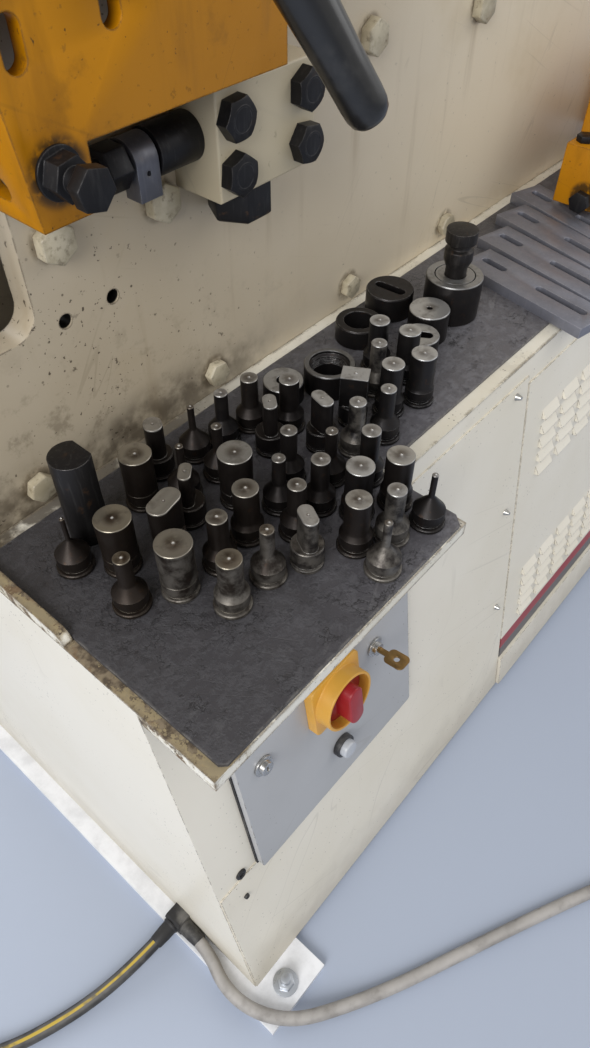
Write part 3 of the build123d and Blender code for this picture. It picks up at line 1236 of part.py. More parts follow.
# Punch ram in its guide between the plates, pinned in the fork of the beam
RAM_DIAMETER = 60.0
GUIDE_BODY_WIDTH = 110.0
GUIDE_BODY_LOW = THROAT_HIGH + 35.0
GUIDE_BODY_TOP = GUIDE_BODY_LOW + 77.0
RAM_OUT = 71.0
RAM_LOW = GUIDE_BODY_LOW - RAM_OUT
RAM_SHOULDER_DROP = 65.0
RAM_SHOULDER = PIVOT_Z - RAM_SHOULDER_DROP
RAM_TANG = 24.0
RAM_TANG_WIDTH = 43.2
RAM_TANG_TOP = PIVOT_Z + 22.0
RAM_PIN_INSET = 1.0

with BuildPart() as ram_guide:
    with BuildSketch(Plane.XY.offset(GUIDE_BODY_LOW)):
        with Locations((PUNCH_X, FRAME_MID_Y)):
            Rectangle(GUIDE_BODY_WIDTH, PLATE_GAP)
            Circle(RAM_DIAMETER / 2 + RUNNING_FIT, mode=Mode.SUBTRACT)
    extrude(amount=GUIDE_BODY_TOP - GUIDE_BODY_LOW)
ram_guide.part.label = "ram_guide"
export_step(ram_guide.part, "parts/ram_guide.step")

with BuildPart() as punch_ram:
    with BuildSketch(Plane.XY.offset(RAM_LOW)):
        with Locations((PUNCH_X, FRAME_MID_Y)):
            Circle(RAM_DIAMETER / 2)
    extrude(amount=RAM_SHOULDER - RAM_LOW)
    with BuildSketch(Plane.XY.offset(RAM_SHOULDER)):
        with Locations((PUNCH_X, FRAME_MID_Y)):
            Rectangle(RAM_TANG_WIDTH, RAM_TANG)
    extrude(amount=RAM_TANG_TOP - RAM_SHOULDER)
    with BuildSketch(side_plane(BEAM_FRONT_Y + RAM_PIN_INSET)):
        with Locations((PUNCH_X, PIVOT_Z)):
            Circle(RAM_PIN / 2)
    extrude(amount=-(BEAM_THICKNESS - 2 * RAM_PIN_INSET))
punch_ram.part.label = "punch_ram"
export_step(punch_ram.part, "parts/punch_ram.step")

# Punch in its coupling nut under the ram
PUNCH_HEAD = 40.0
PUNCH_HEAD_HEIGHT = 6.0
PUNCH_BODY = 36.0
PUNCH_HEIGHT = 72.0
NUT_OUTER = 80.0
NUT_HEIGHT = 46.0
NUT_COLLAR = 20.0
NUT_LOW = RAM_LOW - PUNCH_HEAD_HEIGHT - NUT_COLLAR
NUT_NOTCHES = 4
NUT_NOTCH_DEPTH = 10.0
NUT_NOTCH_WIDTH = 12.0
MOUNTED_NOSE = 20.0
PUNCH_CONE_Z = 23.0
PUNCH_CONE_SLOPE = 1.1
PUNCH_CONE_MARGIN = 1.0

with BuildPart() as ram_nut:
    with BuildSketch(Plane.XY.offset(NUT_LOW)):
        with Locations((PUNCH_X, FRAME_MID_Y)):
            Circle(NUT_OUTER / 2)
            Circle(PUNCH_BODY / 2, mode=Mode.SUBTRACT)
            with PolarLocations(NUT_OUTER / 2, NUT_NOTCHES):
                Rectangle(NUT_NOTCH_DEPTH, NUT_NOTCH_WIDTH, mode=Mode.SUBTRACT)
    extrude(amount=NUT_HEIGHT)
    with BuildSketch(Plane.XY.offset(RAM_LOW - PUNCH_HEAD_HEIGHT)):
        with Locations((PUNCH_X, FRAME_MID_Y)):
            Circle(PUNCH_HEAD / 2)
    extrude(amount=NUT_HEIGHT, mode=Mode.SUBTRACT)
    with BuildSketch(Plane.XY.offset(RAM_LOW)):
        with Locations((PUNCH_X, FRAME_MID_Y)):
            Circle(RAM_DIAMETER / 2)
    extrude(amount=NUT_HEIGHT, mode=Mode.SUBTRACT)
ram_nut.part.label = "ram_nut"
export_step(ram_nut.part, "parts/ram_nut.step")


def punch_profile(nose_diameter):
    """Half section of a round punch standing on its head: head, body, cone and nose."""
    nose = nose_diameter / 2
    body = max(PUNCH_BODY / 2, nose)
    cone_top = PUNCH_CONE_Z + (body - nose) * PUNCH_CONE_SLOPE + PUNCH_CONE_MARGIN
    return Polyline(
        (0, 0),
        (PUNCH_HEAD / 2, 0),
        (PUNCH_HEAD / 2, PUNCH_HEAD_HEIGHT),
        (body, PUNCH_HEAD_HEIGHT),
        (body, PUNCH_CONE_Z),
        (nose, cone_top),
        (nose, PUNCH_HEIGHT),
        (0, PUNCH_HEIGHT),
        close=True,
    )


with BuildPart() as mounted_punch:
    with BuildSketch(Plane(origin=(PUNCH_X, FRAME_MID_Y, RAM_LOW), x_dir=(1, 0, 0), z_dir=(0, 1, 0))):
        with BuildLine():
            punch_profile(MOUNTED_NOSE)
        make_face()
    revolve(axis=Axis((PUNCH_X, FRAME_MID_Y, 0), (0, 0, 1)))
mounted_punch.part.label = "mounted_punch"
export_step(mounted_punch.part, "parts/mounted_punch.step")

# Die bolster across the lower jaw with the die seated in it
BOLSTER_X = (PUNCH_X - 80.0, PUNCH_X + 78.0)
BOLSTER_OUT = 24.0
BOLSTER_Y = (-BOLSTER_OUT, FRAME_BACK + BOLSTER_OUT)
BOLSTER_HEIGHT = 40.0
MOUNTED_DIE = 60.0
MOUNTED_DIE_HEIGHT = 38.0
DIE_SEAT_DEPTH = 14.0
DIE_HOLE = 21.0
SLUG_HOLE = 40.0
BOLSTER_TOP = THROAT_LOW + BOLSTER_HEIGHT

with BuildPart() as die_bolster:
    with BuildSketch(Plane.XY.offset(THROAT_LOW)):
        with Locations(((BOLSTER_X[0] + BOLSTER_X[1]) / 2, (BOLSTER_Y[0] + BOLSTER_Y[1]) / 2)):
            Rectangle(BOLSTER_X[1] - BOLSTER_X[0], BOLSTER_Y[1] - BOLSTER_Y[0])
        with Locations((PUNCH_X, FRAME_MID_Y)):
            Circle(SLUG_HOLE / 2, mode=Mode.SUBTRACT)
    extrude(amount=BOLSTER_HEIGHT)
    with BuildSketch(Plane.XY.offset(BOLSTER_TOP - DIE_SEAT_DEPTH)):
        with Locations((PUNCH_X, FRAME_MID_Y)):
            Circle(MOUNTED_DIE / 2)
    extrude(amount=DIE_SEAT_DEPTH, mode=Mode.SUBTRACT)
die_bolster.part.label = "die_bolster"
export_step(die_bolster.part, "parts/die_bolster.step")

with BuildPart() as mounted_die:
    with BuildSketch(Plane.XY.offset(BOLSTER_TOP - DIE_SEAT_DEPTH)):
        with Locations((PUNCH_X, FRAME_MID_Y)):
            Circle(MOUNTED_DIE / 2)
            Circle(DIE_HOLE / 2, mode=Mode.SUBTRACT)
    extrude(amount=MOUNTED_DIE_HEIGHT)
mounted_die.part.label = "mounted_die"
export_step(mounted_die.part, "parts/mounted_die.step")

# Hydraulic unit in the cabinet: oil tank on its feet with the motor on the lid
TANK_LENGTH = 480.0
TANK_RIGHT = BASE_LENGTH - 140.0
TANK_X = (TANK_RIGHT - TANK_LENGTH, TANK_RIGHT)
TANK_Y = (FRAME_BACK + 21.0, CABINET_REAR - SHEET)
TANK_Z = (40.0, 400.0)
TANK_MID_Y = (TANK_Y[0] + TANK_Y[1]) / 2
TANK_FOOT = 30.0
TANK_FOOT_INSET = 20.0
MOTOR_DIAMETER = 120.0
MOTOR_LENGTH = 240.0
MOTOR_X = TANK_X[0] + 110.0
MOTOR_Y = TANK_MID_Y

with BuildPart() as oil_tank:
    with BuildSketch(Plane.XY.offset(TANK_Z[0])):
        with Locations((TANK_RIGHT - TANK_LENGTH / 2, TANK_MID_Y)):
            Rectangle(TANK_LENGTH, TANK_Y[1] - TANK_Y[0])
    extrude(amount=TANK_Z[1] - TANK_Z[0])
    with BuildSketch(Plane.XY.offset(TANK_Z[0])):
        with Locations((TANK_X[0] + TANK_FOOT_INSET, TANK_MID_Y), (TANK_X[1] - TANK_FOOT_INSET, TANK_MID_Y)):
            Rectangle(TANK_FOOT, TANK_Y[1] - TANK_Y[0])
    extrude(amount=-TANK_Z[0])
oil_tank.part.label = "oil_tank"
export_step(oil_tank.part, "parts/oil_tank.step")

with BuildPart() as pump_motor:
    with BuildSketch(Plane.XY.offset(TANK_Z[1])):
        with Locations((MOTOR_X, MOTOR_Y)):
            Circle(MOTOR_DIAMETER / 2)
    extrude(amount=MOTOR_LENGTH)
pump_motor.part.label = "pump_motor"
export_step(pump_motor.part, "parts/pump_motor.step")

# Tooling that stands on the mat: place and nose diameter of each round punch; place, length, width
# and turn of the nose of each oblong one
OBLONG_FOOT = 30.0
ROUND_PUNCHES = (
    (103, -138, 38),
    (178, -85, 36),
    (120, -206, 38),
    (249, -162, 38),
    (217, -111, 9),
    (76, -183, 17),
    (70, -102, 5),
    (270, -73, 8),
    (310, -81, 16),
    (266, -118, 12),
    (352, -86, 21),
    (381, -123, 24),
    (218, -207, 28),
    (273, -203, 15),
    (313, -182, 19),
    (171, -213, 22),
    (141, -259, 26),
    (191, -261, 15),
    (256, -243, 20),
    (301, -237, 21),
    (343, -218, 14),
    (401, -209, 20),
    (372, -250, 22),
    (320, -275, 31),
    (281, -303, 28),
    (361, -297, 31),
    (317, -324, 21),
    (275, -344, 9),
    (360, -341, 7),
    (443, -221, 19),
    (485, -197, 28),
    (527, -213, 32),
    (508, -159, 20),
    (548, -130, 26),
    (555, -172, 28),
)
SHAPED_PUNCHES = (
    (194, -144, 26, 14, 40),
    (151, -159, 42, 24, 12),
    (231, -279, 30, 17, 62),
    (335, -134, 27, 16, 50),
    (379, -175, 32, 17, 75),
    (222, -64, 25, 21, 60),
)

with BuildPart() as round_punches:
    for x, y, nose in ROUND_PUNCHES:
        with BuildSketch(Plane(origin=(x, y, MAT_TOP), x_dir=(1, 0, 0), z_dir=(0, -1, 0))):
            with BuildLine():
                punch_profile(nose)
            make_face()
        revolve(axis=Axis((x, y, 0), (0, 0, 1)))
round_punches.part.label = "round_punches"
export_step(round_punches.part, "parts/round_punches.step")
RECTANGULAR_PUNCH = (440, -175, 33, 24, -60)

with BuildPart() as shaped_punches:
    for x, y, length, width, turn in SHAPED_PUNCHES:
        with BuildSketch(Plane.XY.offset(MAT_TOP)):
            with Locations((x, y)):
                Circle(PUNCH_BODY / 2)
        extrude(amount=OBLONG_FOOT)
        with BuildSketch(Plane.XY.offset(MAT_TOP + OBLONG_FOOT)):
            with Locations((x, y)):
                SlotOverall(length, width, rotation=turn)
        extrude(amount=PUNCH_HEIGHT - OBLONG_FOOT)
    x, y, length, width, turn = RECTANGULAR_PUNCH
    with BuildSketch(Plane.XY.offset(MAT_TOP)):
        with Locations((x, y)):
            Circle(PUNCH_BODY / 2)
    extrude(amount=OBLONG_FOOT)
    with BuildSketch(Plane.XY.offset(MAT_TOP + OBLONG_FOOT)):
        with Locations((x, y)):
            Rectangle(length, width, rotation=turn)
    extrude(amount=PUNCH_HEIGHT - OBLONG_FOOT)
shaped_punches.part.label = "shaped_punches"
export_step(shaped_punches.part, "parts/shaped_punches.step")

# Dies and holders: outer diameter, hole diameter and height of each, standing on the mat; the
# last one is a holder with a punch standing upside down in it
LOOSE_DIES = (
    (669, -62, 68, 14, 36),
    (586, -71, 64, 42, 28),
    (475, -109, 66, 44, 36),
    (419, -80, 52, 18, 27),
    (652, -140, 56, 8, 44),
    (600, -161, 52, 14, 38),
    (724, -131, 80, 30, 60),
)
DIE_SLOTS = (
    (669, -62, 48, 14, -86.5, 36),
    (600, -161, 34, 14, -60, 38),
)
DIE_GROOVE_OUTER = 58.0
DIE_GROOVE_INNER = 55.0
DIE_GROOVE_DEPTH = 4.0
COUNTERBORE = 52.0
COUNTERBORE_DEPTH = 10.0
KEYED_HOLDER = (110, -76)
KEYED_HOLDER_DIAMETER = 43.0
KEYED_HOLDER_HEIGHT = 112.0
KEYED_FLAT_X = 16.0
KEYED_FLAT_HEIGHT = 67.0
DIE_CHAMFER = 2.0

with BuildPart() as loose_dies:
    for x, y, outer, hole, height in LOOSE_DIES:
        with BuildSketch(Plane.XY.offset(MAT_TOP)):
            with Locations((x, y)):
                Circle(outer / 2)
                Circle(hole / 2, mode=Mode.SUBTRACT)
        extrude(amount=height)
    chamfer(loose_dies.faces().filter_by(Axis.Z).group_by(Axis.Z)[-1].edges(), length=DIE_CHAMFER)
    for x, y, length, width, turn, height in DIE_SLOTS:
        with BuildSketch(Plane.XY.offset(MAT_TOP)):
            with Locations((x, y)):
                SlotOverall(length, width, rotation=turn)
        extrude(amount=height, mode=Mode.SUBTRACT)
    with BuildSketch(Plane.XY.offset(MAT_TOP + LOOSE_DIES[-1][4])):
        with Locations(LOOSE_DIES[-1][:2]):
            Circle(DIE_GROOVE_OUTER / 2)
            Circle(DIE_GROOVE_INNER / 2, mode=Mode.SUBTRACT)
    extrude(amount=-DIE_GROOVE_DEPTH, mode=Mode.SUBTRACT)
    with BuildSketch(Plane.XY.offset(MAT_TOP + LOOSE_DIES[2][4])):
        with Locations(LOOSE_DIES[2][:2]):
            Circle(COUNTERBORE / 2)
    extrude(amount=-COUNTERBORE_DEPTH, mode=Mode.SUBTRACT)
loose_dies.part.label = "loose_dies"
export_step(loose_dies.part, "parts/loose_dies.step")

with BuildPart() as keyed_holder:
    with BuildSketch(Plane.XY.offset(MAT_TOP)):
        with Locations(KEYED_HOLDER):
            Circle(KEYED_HOLDER_DIAMETER / 2)
    extrude(amount=KEYED_HOLDER_HEIGHT)
    with BuildSketch(Plane.XY.offset(MAT_TOP + KEYED_HOLDER_HEIGHT)):
        with Locations((KEYED_HOLDER[0] + KEYED_FLAT_X, KEYED_HOLDER[1])):
            Rectangle(KEYED_HOLDER_DIAMETER, KEYED_HOLDER_DIAMETER, align=(Align.MIN, Align.CENTER))
    extrude(amount=-KEYED_FLAT_HEIGHT, mode=Mode.SUBTRACT)
keyed_holder.part.label = "keyed_holder"
export_step(keyed_holder.part, "parts/keyed_holder.step")

# Punch standing upside down in the holder
HELD_PUNCH_X = LOOSE_DIES[-1][0]
HELD_PUNCH_Y = LOOSE_DIES[-1][1]
HELD_PUNCH_FLANGE = 43.0
HELD_PUNCH_NECK = LOOSE_DIES[-1][3]
HELD_COLLAR = HELD_PUNCH_NECK + 10.0
HELD_FOOT_LIFT = 2.0
HELD_TAPER_LOW = 72.0
HELD_COLLAR_LOW = 84.0
HELD_COLLAR_TOP = 98.0
HELD_GROOVE_LOW = 101.0
HELD_GROOVE_TOP = 106.0
HELD_FLANGE_LOW = 109.0
HELD_TOP = 126.0

with BuildPart() as held_punch:
    with BuildSketch(Plane(origin=(HELD_PUNCH_X, HELD_PUNCH_Y, MAT_TOP), x_dir=(1, 0, 0), z_dir=(0, -1, 0))):
        with BuildLine():
            Polyline(
                (0, HELD_FOOT_LIFT),
                (HELD_PUNCH_NECK / 2, HELD_FOOT_LIFT),
                (HELD_PUNCH_NECK / 2, HELD_TAPER_LOW),
                (HELD_COLLAR / 2, HELD_COLLAR_LOW),
                (HELD_COLLAR / 2, HELD_COLLAR_TOP),
                (HELD_PUNCH_NECK / 2, HELD_GROOVE_LOW),
                (HELD_PUNCH_NECK / 2, HELD_GROOVE_TOP),
                (HELD_PUNCH_FLANGE / 2, HELD_FLANGE_LOW),
                (HELD_PUNCH_FLANGE / 2, HELD_TOP),
                (0, HELD_TOP),
                close=True,
            )
        make_face()
    revolve(axis=Axis((HELD_PUNCH_X, HELD_PUNCH_Y, 0), (0, 0, 1)))
held_punch.part.label = "held_punch"
export_step(held_punch.part, "parts/held_punch.step")

# Clamp block at the foot of the left wall, where both cables come out
CABLE_DIAMETER = 20.0
CLAMP_BLOCK_WIDTH = 26.0
CLAMP_BLOCK_LENGTH = 30.0
CLAMP_BLOCK_Y = -227.0
CLAMP_BLOCK_HEIGHT = 32.0
CLAMP_BLOCK_CHAMFER = 4.0

with BuildPart() as cable_clamp:
    with BuildSketch(Plane.XY.offset(FOOT_THICKNESS)):
        with Locations((-CLAMP_BLOCK_WIDTH / 2, CLAMP_BLOCK_Y)):
            Rectangle(CLAMP_BLOCK_WIDTH, CLAMP_BLOCK_LENGTH)
    extrude(amount=CLAMP_BLOCK_HEIGHT)
    outer_edge = cable_clamp.edges().filter_by(Axis.Y).group_by(Axis.Z)[-1].sort_by(Axis.X)[0]
    chamfer(outer_edge, length=CLAMP_BLOCK_CHAMFER)
cable_clamp.part.label = "cable_clamp"
export_step(cable_clamp.part, "parts/cable_clamp.step")

# Cables: each lies along its own route, straight runs joined by the largest arcs that fit
ARC_SHARE = 0.45
POWER_ROUTE = [
    (-26, -226, 31),
    (-100, -226, 31),
    (-205, -203, 12),
    (-330, -150, 11),
    (-430, -50, 11),
    (-462, 100, 11),
    (-430, 270, 11),
    (-330, 410, 11),
    (-170, 485, 11),
    (40, 497, 11),
    (250, 487, 11),
    (420, 464, 20),
    (520, 455, 38),
    (590, 455, 38),
]
PEDAL_ROUTE = [
    (-13, -242, 26),
    (-13, -296, 26),
    (-34, -350, 26),
    (-28, -408, 26),
    (4, -462, 26),
    (66, -504, 15),
    (140, -547, 11),
    (226, -590, 11),
    (322, -637, 11),
    (425, -690, 11),
    (508, -735, 11),
    (578, -768, 12),
    (640, -780, 18),
    (700, -780, 18),
]


def route_radii(points):
    """Arc radius at each inner point of a route, from the shorter of its two runs and the turn."""
    radii = []
    for before, here, after in zip(points, points[1:], points[2:]):
        run_in = Vector(*here) - Vector(*before)
        run_out = Vector(*after) - Vector(*here)
        half_turn = math.radians(run_in.get_angle(run_out)) / 2
        radii.append(ARC_SHARE * min(run_in.length, run_out.length) / math.tan(half_turn))
    return radii


with BuildPart() as power_cable:
    with BuildLine() as power_line:
        FilletPolyline(*POWER_ROUTE, radius=route_radii(POWER_ROUTE))
    with BuildSketch(Plane(origin=power_line.line @ 0, z_dir=power_line.line % 0)):
        Circle(CABLE_DIAMETER / 2)
    sweep()
power_cable.part.label = "power_cable"
export_step(power_cable.part, "parts/power_cable.step")

with BuildPart() as pedal_cable:
    with BuildLine() as pedal_line:
        FilletPolyline(*PEDAL_ROUTE, radius=route_radii(PEDAL_ROUTE))
    with BuildSketch(Plane(origin=pedal_line.line @ 0, z_dir=pedal_line.line % 0)):
        Circle(CABLE_DIAMETER / 2)
    sweep()
pedal_cable.part.label = "pedal_cable"
export_step(pedal_cable.part, "parts/pedal_cable.step")

for cable_name, cable, line, route in (
    ("power_cable", power_cable, power_line, POWER_ROUTE),
    ("pedal_cable", pedal_cable, pedal_line, PEDAL_ROUTE),
):
    section = math.pi * CABLE_DIAMETER**2 / 4
    length = line.wires()[0].length
    print(cable_name, "radii", [round(radius) for radius in route_radii(route)])
    print(cable_name, "length", round(length), "volume share", cable.part.volume / (section * length))

# Plug on the end of the power cable, lying on the floor: grip, collar, sleeve and pins
PLUG_START_X, PLUG_Y, PLUG_AXIS_Z = POWER_ROUTE[-1]
PLUG_PIN = 6.0
PLUG_PIN_CIRCLE = 34.0
PLUG_PINS = 5
PLUG_PIN_INSET = 8.0
PLUG_NECK = 14.0
PLUG_NECK_END = 12.0
PLUG_WAIST = 16.0
PLUG_SHOULDER = 27.0
PLUG_SHOULDER_END = 22.0
PLUG_GRIP = 30.0
PLUG_GRIP_END = 70.0
PLUG_COLLAR_END = 84.0
PLUG_SLEEVE_END = 130.0
PLUG_SLEEVE_RADIUS = 31.0
PLUG_SLEEVE_WALL = 4.0

with BuildPart() as mains_plug:
    with BuildSketch(Plane(origin=(PLUG_START_X, PLUG_Y, PLUG_AXIS_Z), x_dir=(1, 0, 0), z_dir=(0, -1, 0))):
        with BuildLine():
            Polyline(
                (0, 0),
                (0, PLUG_NECK),
                (PLUG_NECK_END, PLUG_WAIST),
                (PLUG_SHOULDER_END, PLUG_SHOULDER),
                (PLUG_GRIP_END, PLUG_GRIP),
                (PLUG_GRIP_END, PLUG_AXIS_Z),
                (PLUG_COLLAR_END, PLUG_AXIS_Z),
                (PLUG_COLLAR_END, PLUG_SLEEVE_RADIUS),
                (PLUG_SLEEVE_END, PLUG_SLEEVE_RADIUS),
                (PLUG_SLEEVE_END, PLUG_SLEEVE_RADIUS - PLUG_SLEEVE_WALL),
                (PLUG_COLLAR_END, PLUG_SLEEVE_RADIUS - PLUG_SLEEVE_WALL),
                (PLUG_COLLAR_END, 0),
                close=True,
            )
        make_face()
    revolve(axis=Axis((0, PLUG_Y, PLUG_AXIS_Z), (1, 0, 0)))
    with BuildSketch(Plane(origin=(PLUG_START_X + PLUG_COLLAR_END, PLUG_Y, PLUG_AXIS_Z), z_dir=(1, 0, 0))):
        with PolarLocations(PLUG_PIN_CIRCLE / 2, PLUG_PINS):
            Circle(PLUG_PIN / 2)
    extrude(amount=PLUG_SLEEVE_END - PLUG_COLLAR_END - PLUG_PIN_INSET)
mains_plug.part.label = "mains_plug"
export_step(mains_plug.part, "parts/mains_plug.step")

# Foot pedal: housing with side cheeks and a cable gland, and the treadle between the cheeks
PEDAL_LEFT = 716.0
PEDAL_WIDTH = 150.0
PEDAL_BACK_Y = -690.0
PEDAL_LENGTH = 210.0
PEDAL_FLOOR = 12.0
PEDAL_CORNER = 7.0
CHEEK_THICKNESS = 8.0
CHEEK_HEIGHT = 62.0
CHEEK_TOP_RUN = 94.5
CHEEK_NOSE = 6.0
CHEEK_ROOT = 2.0
TREADLE_GAP = 2.0
TREADLE_THICKNESS = 6.0
TREADLE_PIN = 10.0
TREADLE_AXIS_Y = PEDAL_BACK_Y - 22.0
TREADLE_AXIS_Z = 34.0
TREADLE_RISE = 9.0
TREADLE_HEEL = 12.0
TREADLE_FRONT_GAP = 14.0
TREADLE_LOW = TREADLE_AXIS_Z + 4.0
TREADLE_TOP = TREADLE_LOW + TREADLE_THICKNESS
GLAND_DIAMETER = 30.0
GLAND_Z = 18.0

with BuildPart() as pedal_base:
    with BuildSketch(Plane.XY):
        with Locations((PEDAL_LEFT + PEDAL_WIDTH / 2, PEDAL_BACK_Y - PEDAL_LENGTH / 2)):
            RectangleRounded(PEDAL_WIDTH, PEDAL_LENGTH, PEDAL_CORNER)
    extrude(amount=PEDAL_FLOOR)
    for cheek_x in (PEDAL_LEFT, PEDAL_LEFT + PEDAL_WIDTH - CHEEK_THICKNESS):
        with BuildSketch(end_plane(cheek_x)):
            with BuildLine():
                Polyline(
                    (PEDAL_BACK_Y - CHEEK_THICKNESS, PEDAL_FLOOR - CHEEK_ROOT),
                    (PEDAL_BACK_Y - CHEEK_THICKNESS, CHEEK_HEIGHT),
                    (PEDAL_BACK_Y - CHEEK_TOP_RUN, CHEEK_HEIGHT),
                    (PEDAL_BACK_Y - PEDAL_LENGTH + CHEEK_THICKNESS, PEDAL_FLOOR + CHEEK_NOSE),
                    (PEDAL_BACK_Y - PEDAL_LENGTH + CHEEK_THICKNESS, PEDAL_FLOOR - CHEEK_ROOT),
                    close=True,
                )
            make_face()
        extrude(amount=CHEEK_THICKNESS)
    with BuildSketch(end_plane(PEDAL_LEFT)):
        with Locations((PEDAL_ROUTE[-1][1], GLAND_Z)):
            RegularPolygon(GLAND_DIAMETER / 2, 6)
    extrude(amount=PEDAL_ROUTE[-1][0] - PEDAL_LEFT)
    with BuildSketch(end_plane(PEDAL_LEFT + CHEEK_THICKNESS)):
        with Locations((TREADLE_AXIS_Y, TREADLE_AXIS_Z)):
            Circle(TREADLE_PIN / 2)
    extrude(amount=PEDAL_WIDTH - 2 * CHEEK_THICKNESS)
pedal_base.part.label = "pedal_base"
export_step(pedal_base.part, "parts/pedal_base.step")

with BuildPart() as foot_pedal:
    with BuildSketch(end_plane(PEDAL_LEFT + CHEEK_THICKNESS + TREADLE_GAP)):
        with BuildLine():
            Polyline(
                (TREADLE_AXIS_Y + TREADLE_HEEL, TREADLE_LOW),
                (TREADLE_AXIS_Y + TREADLE_HEEL, TREADLE_TOP),
                (PEDAL_BACK_Y - PEDAL_LENGTH + TREADLE_FRONT_GAP, TREADLE_TOP + TREADLE_RISE),
                (PEDAL_BACK_Y - PEDAL_LENGTH + TREADLE_FRONT_GAP, TREADLE_LOW + TREADLE_RISE),
                close=True,
            )
        make_face()
        with Locations((TREADLE_AXIS_Y, TREADLE_AXIS_Z)):
            Circle(TREADLE_PIN)
            Circle(TREADLE_PIN / 2 + RUNNING_FIT, mode=Mode.SUBTRACT)
    extrude(amount=PEDAL_WIDTH - 2 * CHEEK_THICKNESS - 2 * TREADLE_GAP)
foot_pedal.part.label = "foot_pedal"
export_step(foot_pedal.part, "parts/foot_pedal.step")
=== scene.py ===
"""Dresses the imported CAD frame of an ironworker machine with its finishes, cords, tooling and fittings."""

import json
import math
import random

import bmesh
import bpy
from bpy.props import FloatProperty, FloatVectorProperty, IntProperty, PointerProperty
from mathutils import Matrix, Vector

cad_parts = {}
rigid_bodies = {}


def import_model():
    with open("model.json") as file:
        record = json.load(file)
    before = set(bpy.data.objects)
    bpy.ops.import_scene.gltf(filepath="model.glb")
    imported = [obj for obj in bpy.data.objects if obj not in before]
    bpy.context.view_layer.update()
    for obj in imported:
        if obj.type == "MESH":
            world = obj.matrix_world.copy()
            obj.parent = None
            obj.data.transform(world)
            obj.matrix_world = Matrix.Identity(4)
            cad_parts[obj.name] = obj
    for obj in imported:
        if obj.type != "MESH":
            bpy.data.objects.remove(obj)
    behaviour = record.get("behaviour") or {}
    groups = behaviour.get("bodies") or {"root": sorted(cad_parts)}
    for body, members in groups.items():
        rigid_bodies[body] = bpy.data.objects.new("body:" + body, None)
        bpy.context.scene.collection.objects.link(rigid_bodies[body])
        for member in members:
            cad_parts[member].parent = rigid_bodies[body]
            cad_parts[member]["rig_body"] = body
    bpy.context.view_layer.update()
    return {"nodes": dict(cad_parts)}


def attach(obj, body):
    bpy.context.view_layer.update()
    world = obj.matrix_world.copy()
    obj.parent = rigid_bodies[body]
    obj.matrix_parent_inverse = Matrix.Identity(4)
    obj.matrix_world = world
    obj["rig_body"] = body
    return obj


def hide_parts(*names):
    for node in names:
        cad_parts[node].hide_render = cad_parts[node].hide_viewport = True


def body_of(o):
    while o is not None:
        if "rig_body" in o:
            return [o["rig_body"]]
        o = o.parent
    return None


bl_info = {
    "name": "Ironworker Machine Dressing",
    "version": (1, 0, 0),
    "blender": (4, 5, 0),
    "location": "View3D > Sidebar > Ironworker",
    "description": "Finishes, cords, punches and fittings of an ironworker machine on its CAD frame",
    "category": "Object",
}

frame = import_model()
MM = 0.001


# --- Colours and places ---


def tint(red, green, blue):
    """A colour as it is seen on a paint card, 0 to 255, turned into Blender's linear values."""
    channels = []
    for channel in (red, green, blue):
        c = channel / 255
        channels.append(c / 12.92 if c <= 0.04045 else ((c + 0.055) / 1.055) ** 2.4)
    return tuple(channels)


def mm(*values):
    """A point written in millimetres of the CAD frame, as a Vector in metres."""
    return Vector(values) * MM


FRONT_LEAN = math.radians(8.6)
FRONT_FOOT = mm(0, -385, 15)


def on_front(x, height, proud):
    """Matrix of a place on the leaning cabinet front: local Z points outwards, local Y up the slope."""
    up = Vector((0, math.sin(FRONT_LEAN), math.cos(FRONT_LEAN)))
    out = Vector((0, -math.cos(FRONT_LEAN), math.sin(FRONT_LEAN)))
    along = (height * MM - FRONT_FOOT.z) / math.cos(FRONT_LEAN)
    origin = Vector((x * MM, FRONT_FOOT.y, FRONT_FOOT.z)) + up * along + out * proud * MM
    turn = Matrix((Vector((1, 0, 0)), up, out)).transposed().to_4x4()
    return Matrix.Translation(origin) @ turn


def facing(origin, direction, roll=0.0):
    """Matrix of a place whose local Z points along a direction, turned about it by roll degrees."""
    turn = Vector(direction).to_track_quat("Z", "Y").to_matrix().to_4x4()
    return Matrix.Translation(origin) @ turn @ Matrix.Rotation(math.radians(roll), 4, "Z")


# --- Shader maths ---


class Value:
    """A number that varies over a surface. Its operators add the Math nodes that work it out."""

    def __init__(self, finish, socket):
        self.finish = finish
        self.socket = socket

    def _math(self, operation, *terms):
        node = self.finish.add("ShaderNodeMath", {"operation": operation}, terms)
        return Value(self.finish, node.outputs[0])

    def __add__(self, other):
        return self._math("ADD", self, other)

    __radd__ = __add__

    def __sub__(self, other):
        return self._math("SUBTRACT", self, other)

    def __rsub__(self, other):
        return self._math("SUBTRACT", other, self)

    def __mul__(self, other):
        return self._math("MULTIPLY", self, other)

    def __abs__(self):
        return self._math("ABSOLUTE", self)

    def larger(self, other):
        return self._math("MAXIMUM", self, other)

    def smaller(self, other):
        return self._math("MINIMUM", self, other)

    def sine(self):
        return self._math("SINE", self)

    def between(self, low, high):
        """0 below low, 1 above high and smooth in between. With low above high it falls instead."""
        node = self.finish.add(
            "ShaderNodeMapRange", {"interpolation_type": "SMOOTHSTEP"}, {0: self, 1: low, 2: high}
        )
        return Value(self.finish, node.outputs[0])


def opaque(colour):
    """A colour with full alpha. What comes out of a node stays as it is."""
    return colour if isinstance(colour, bpy.types.NodeSocket) else (*colour[:3], 1.0)


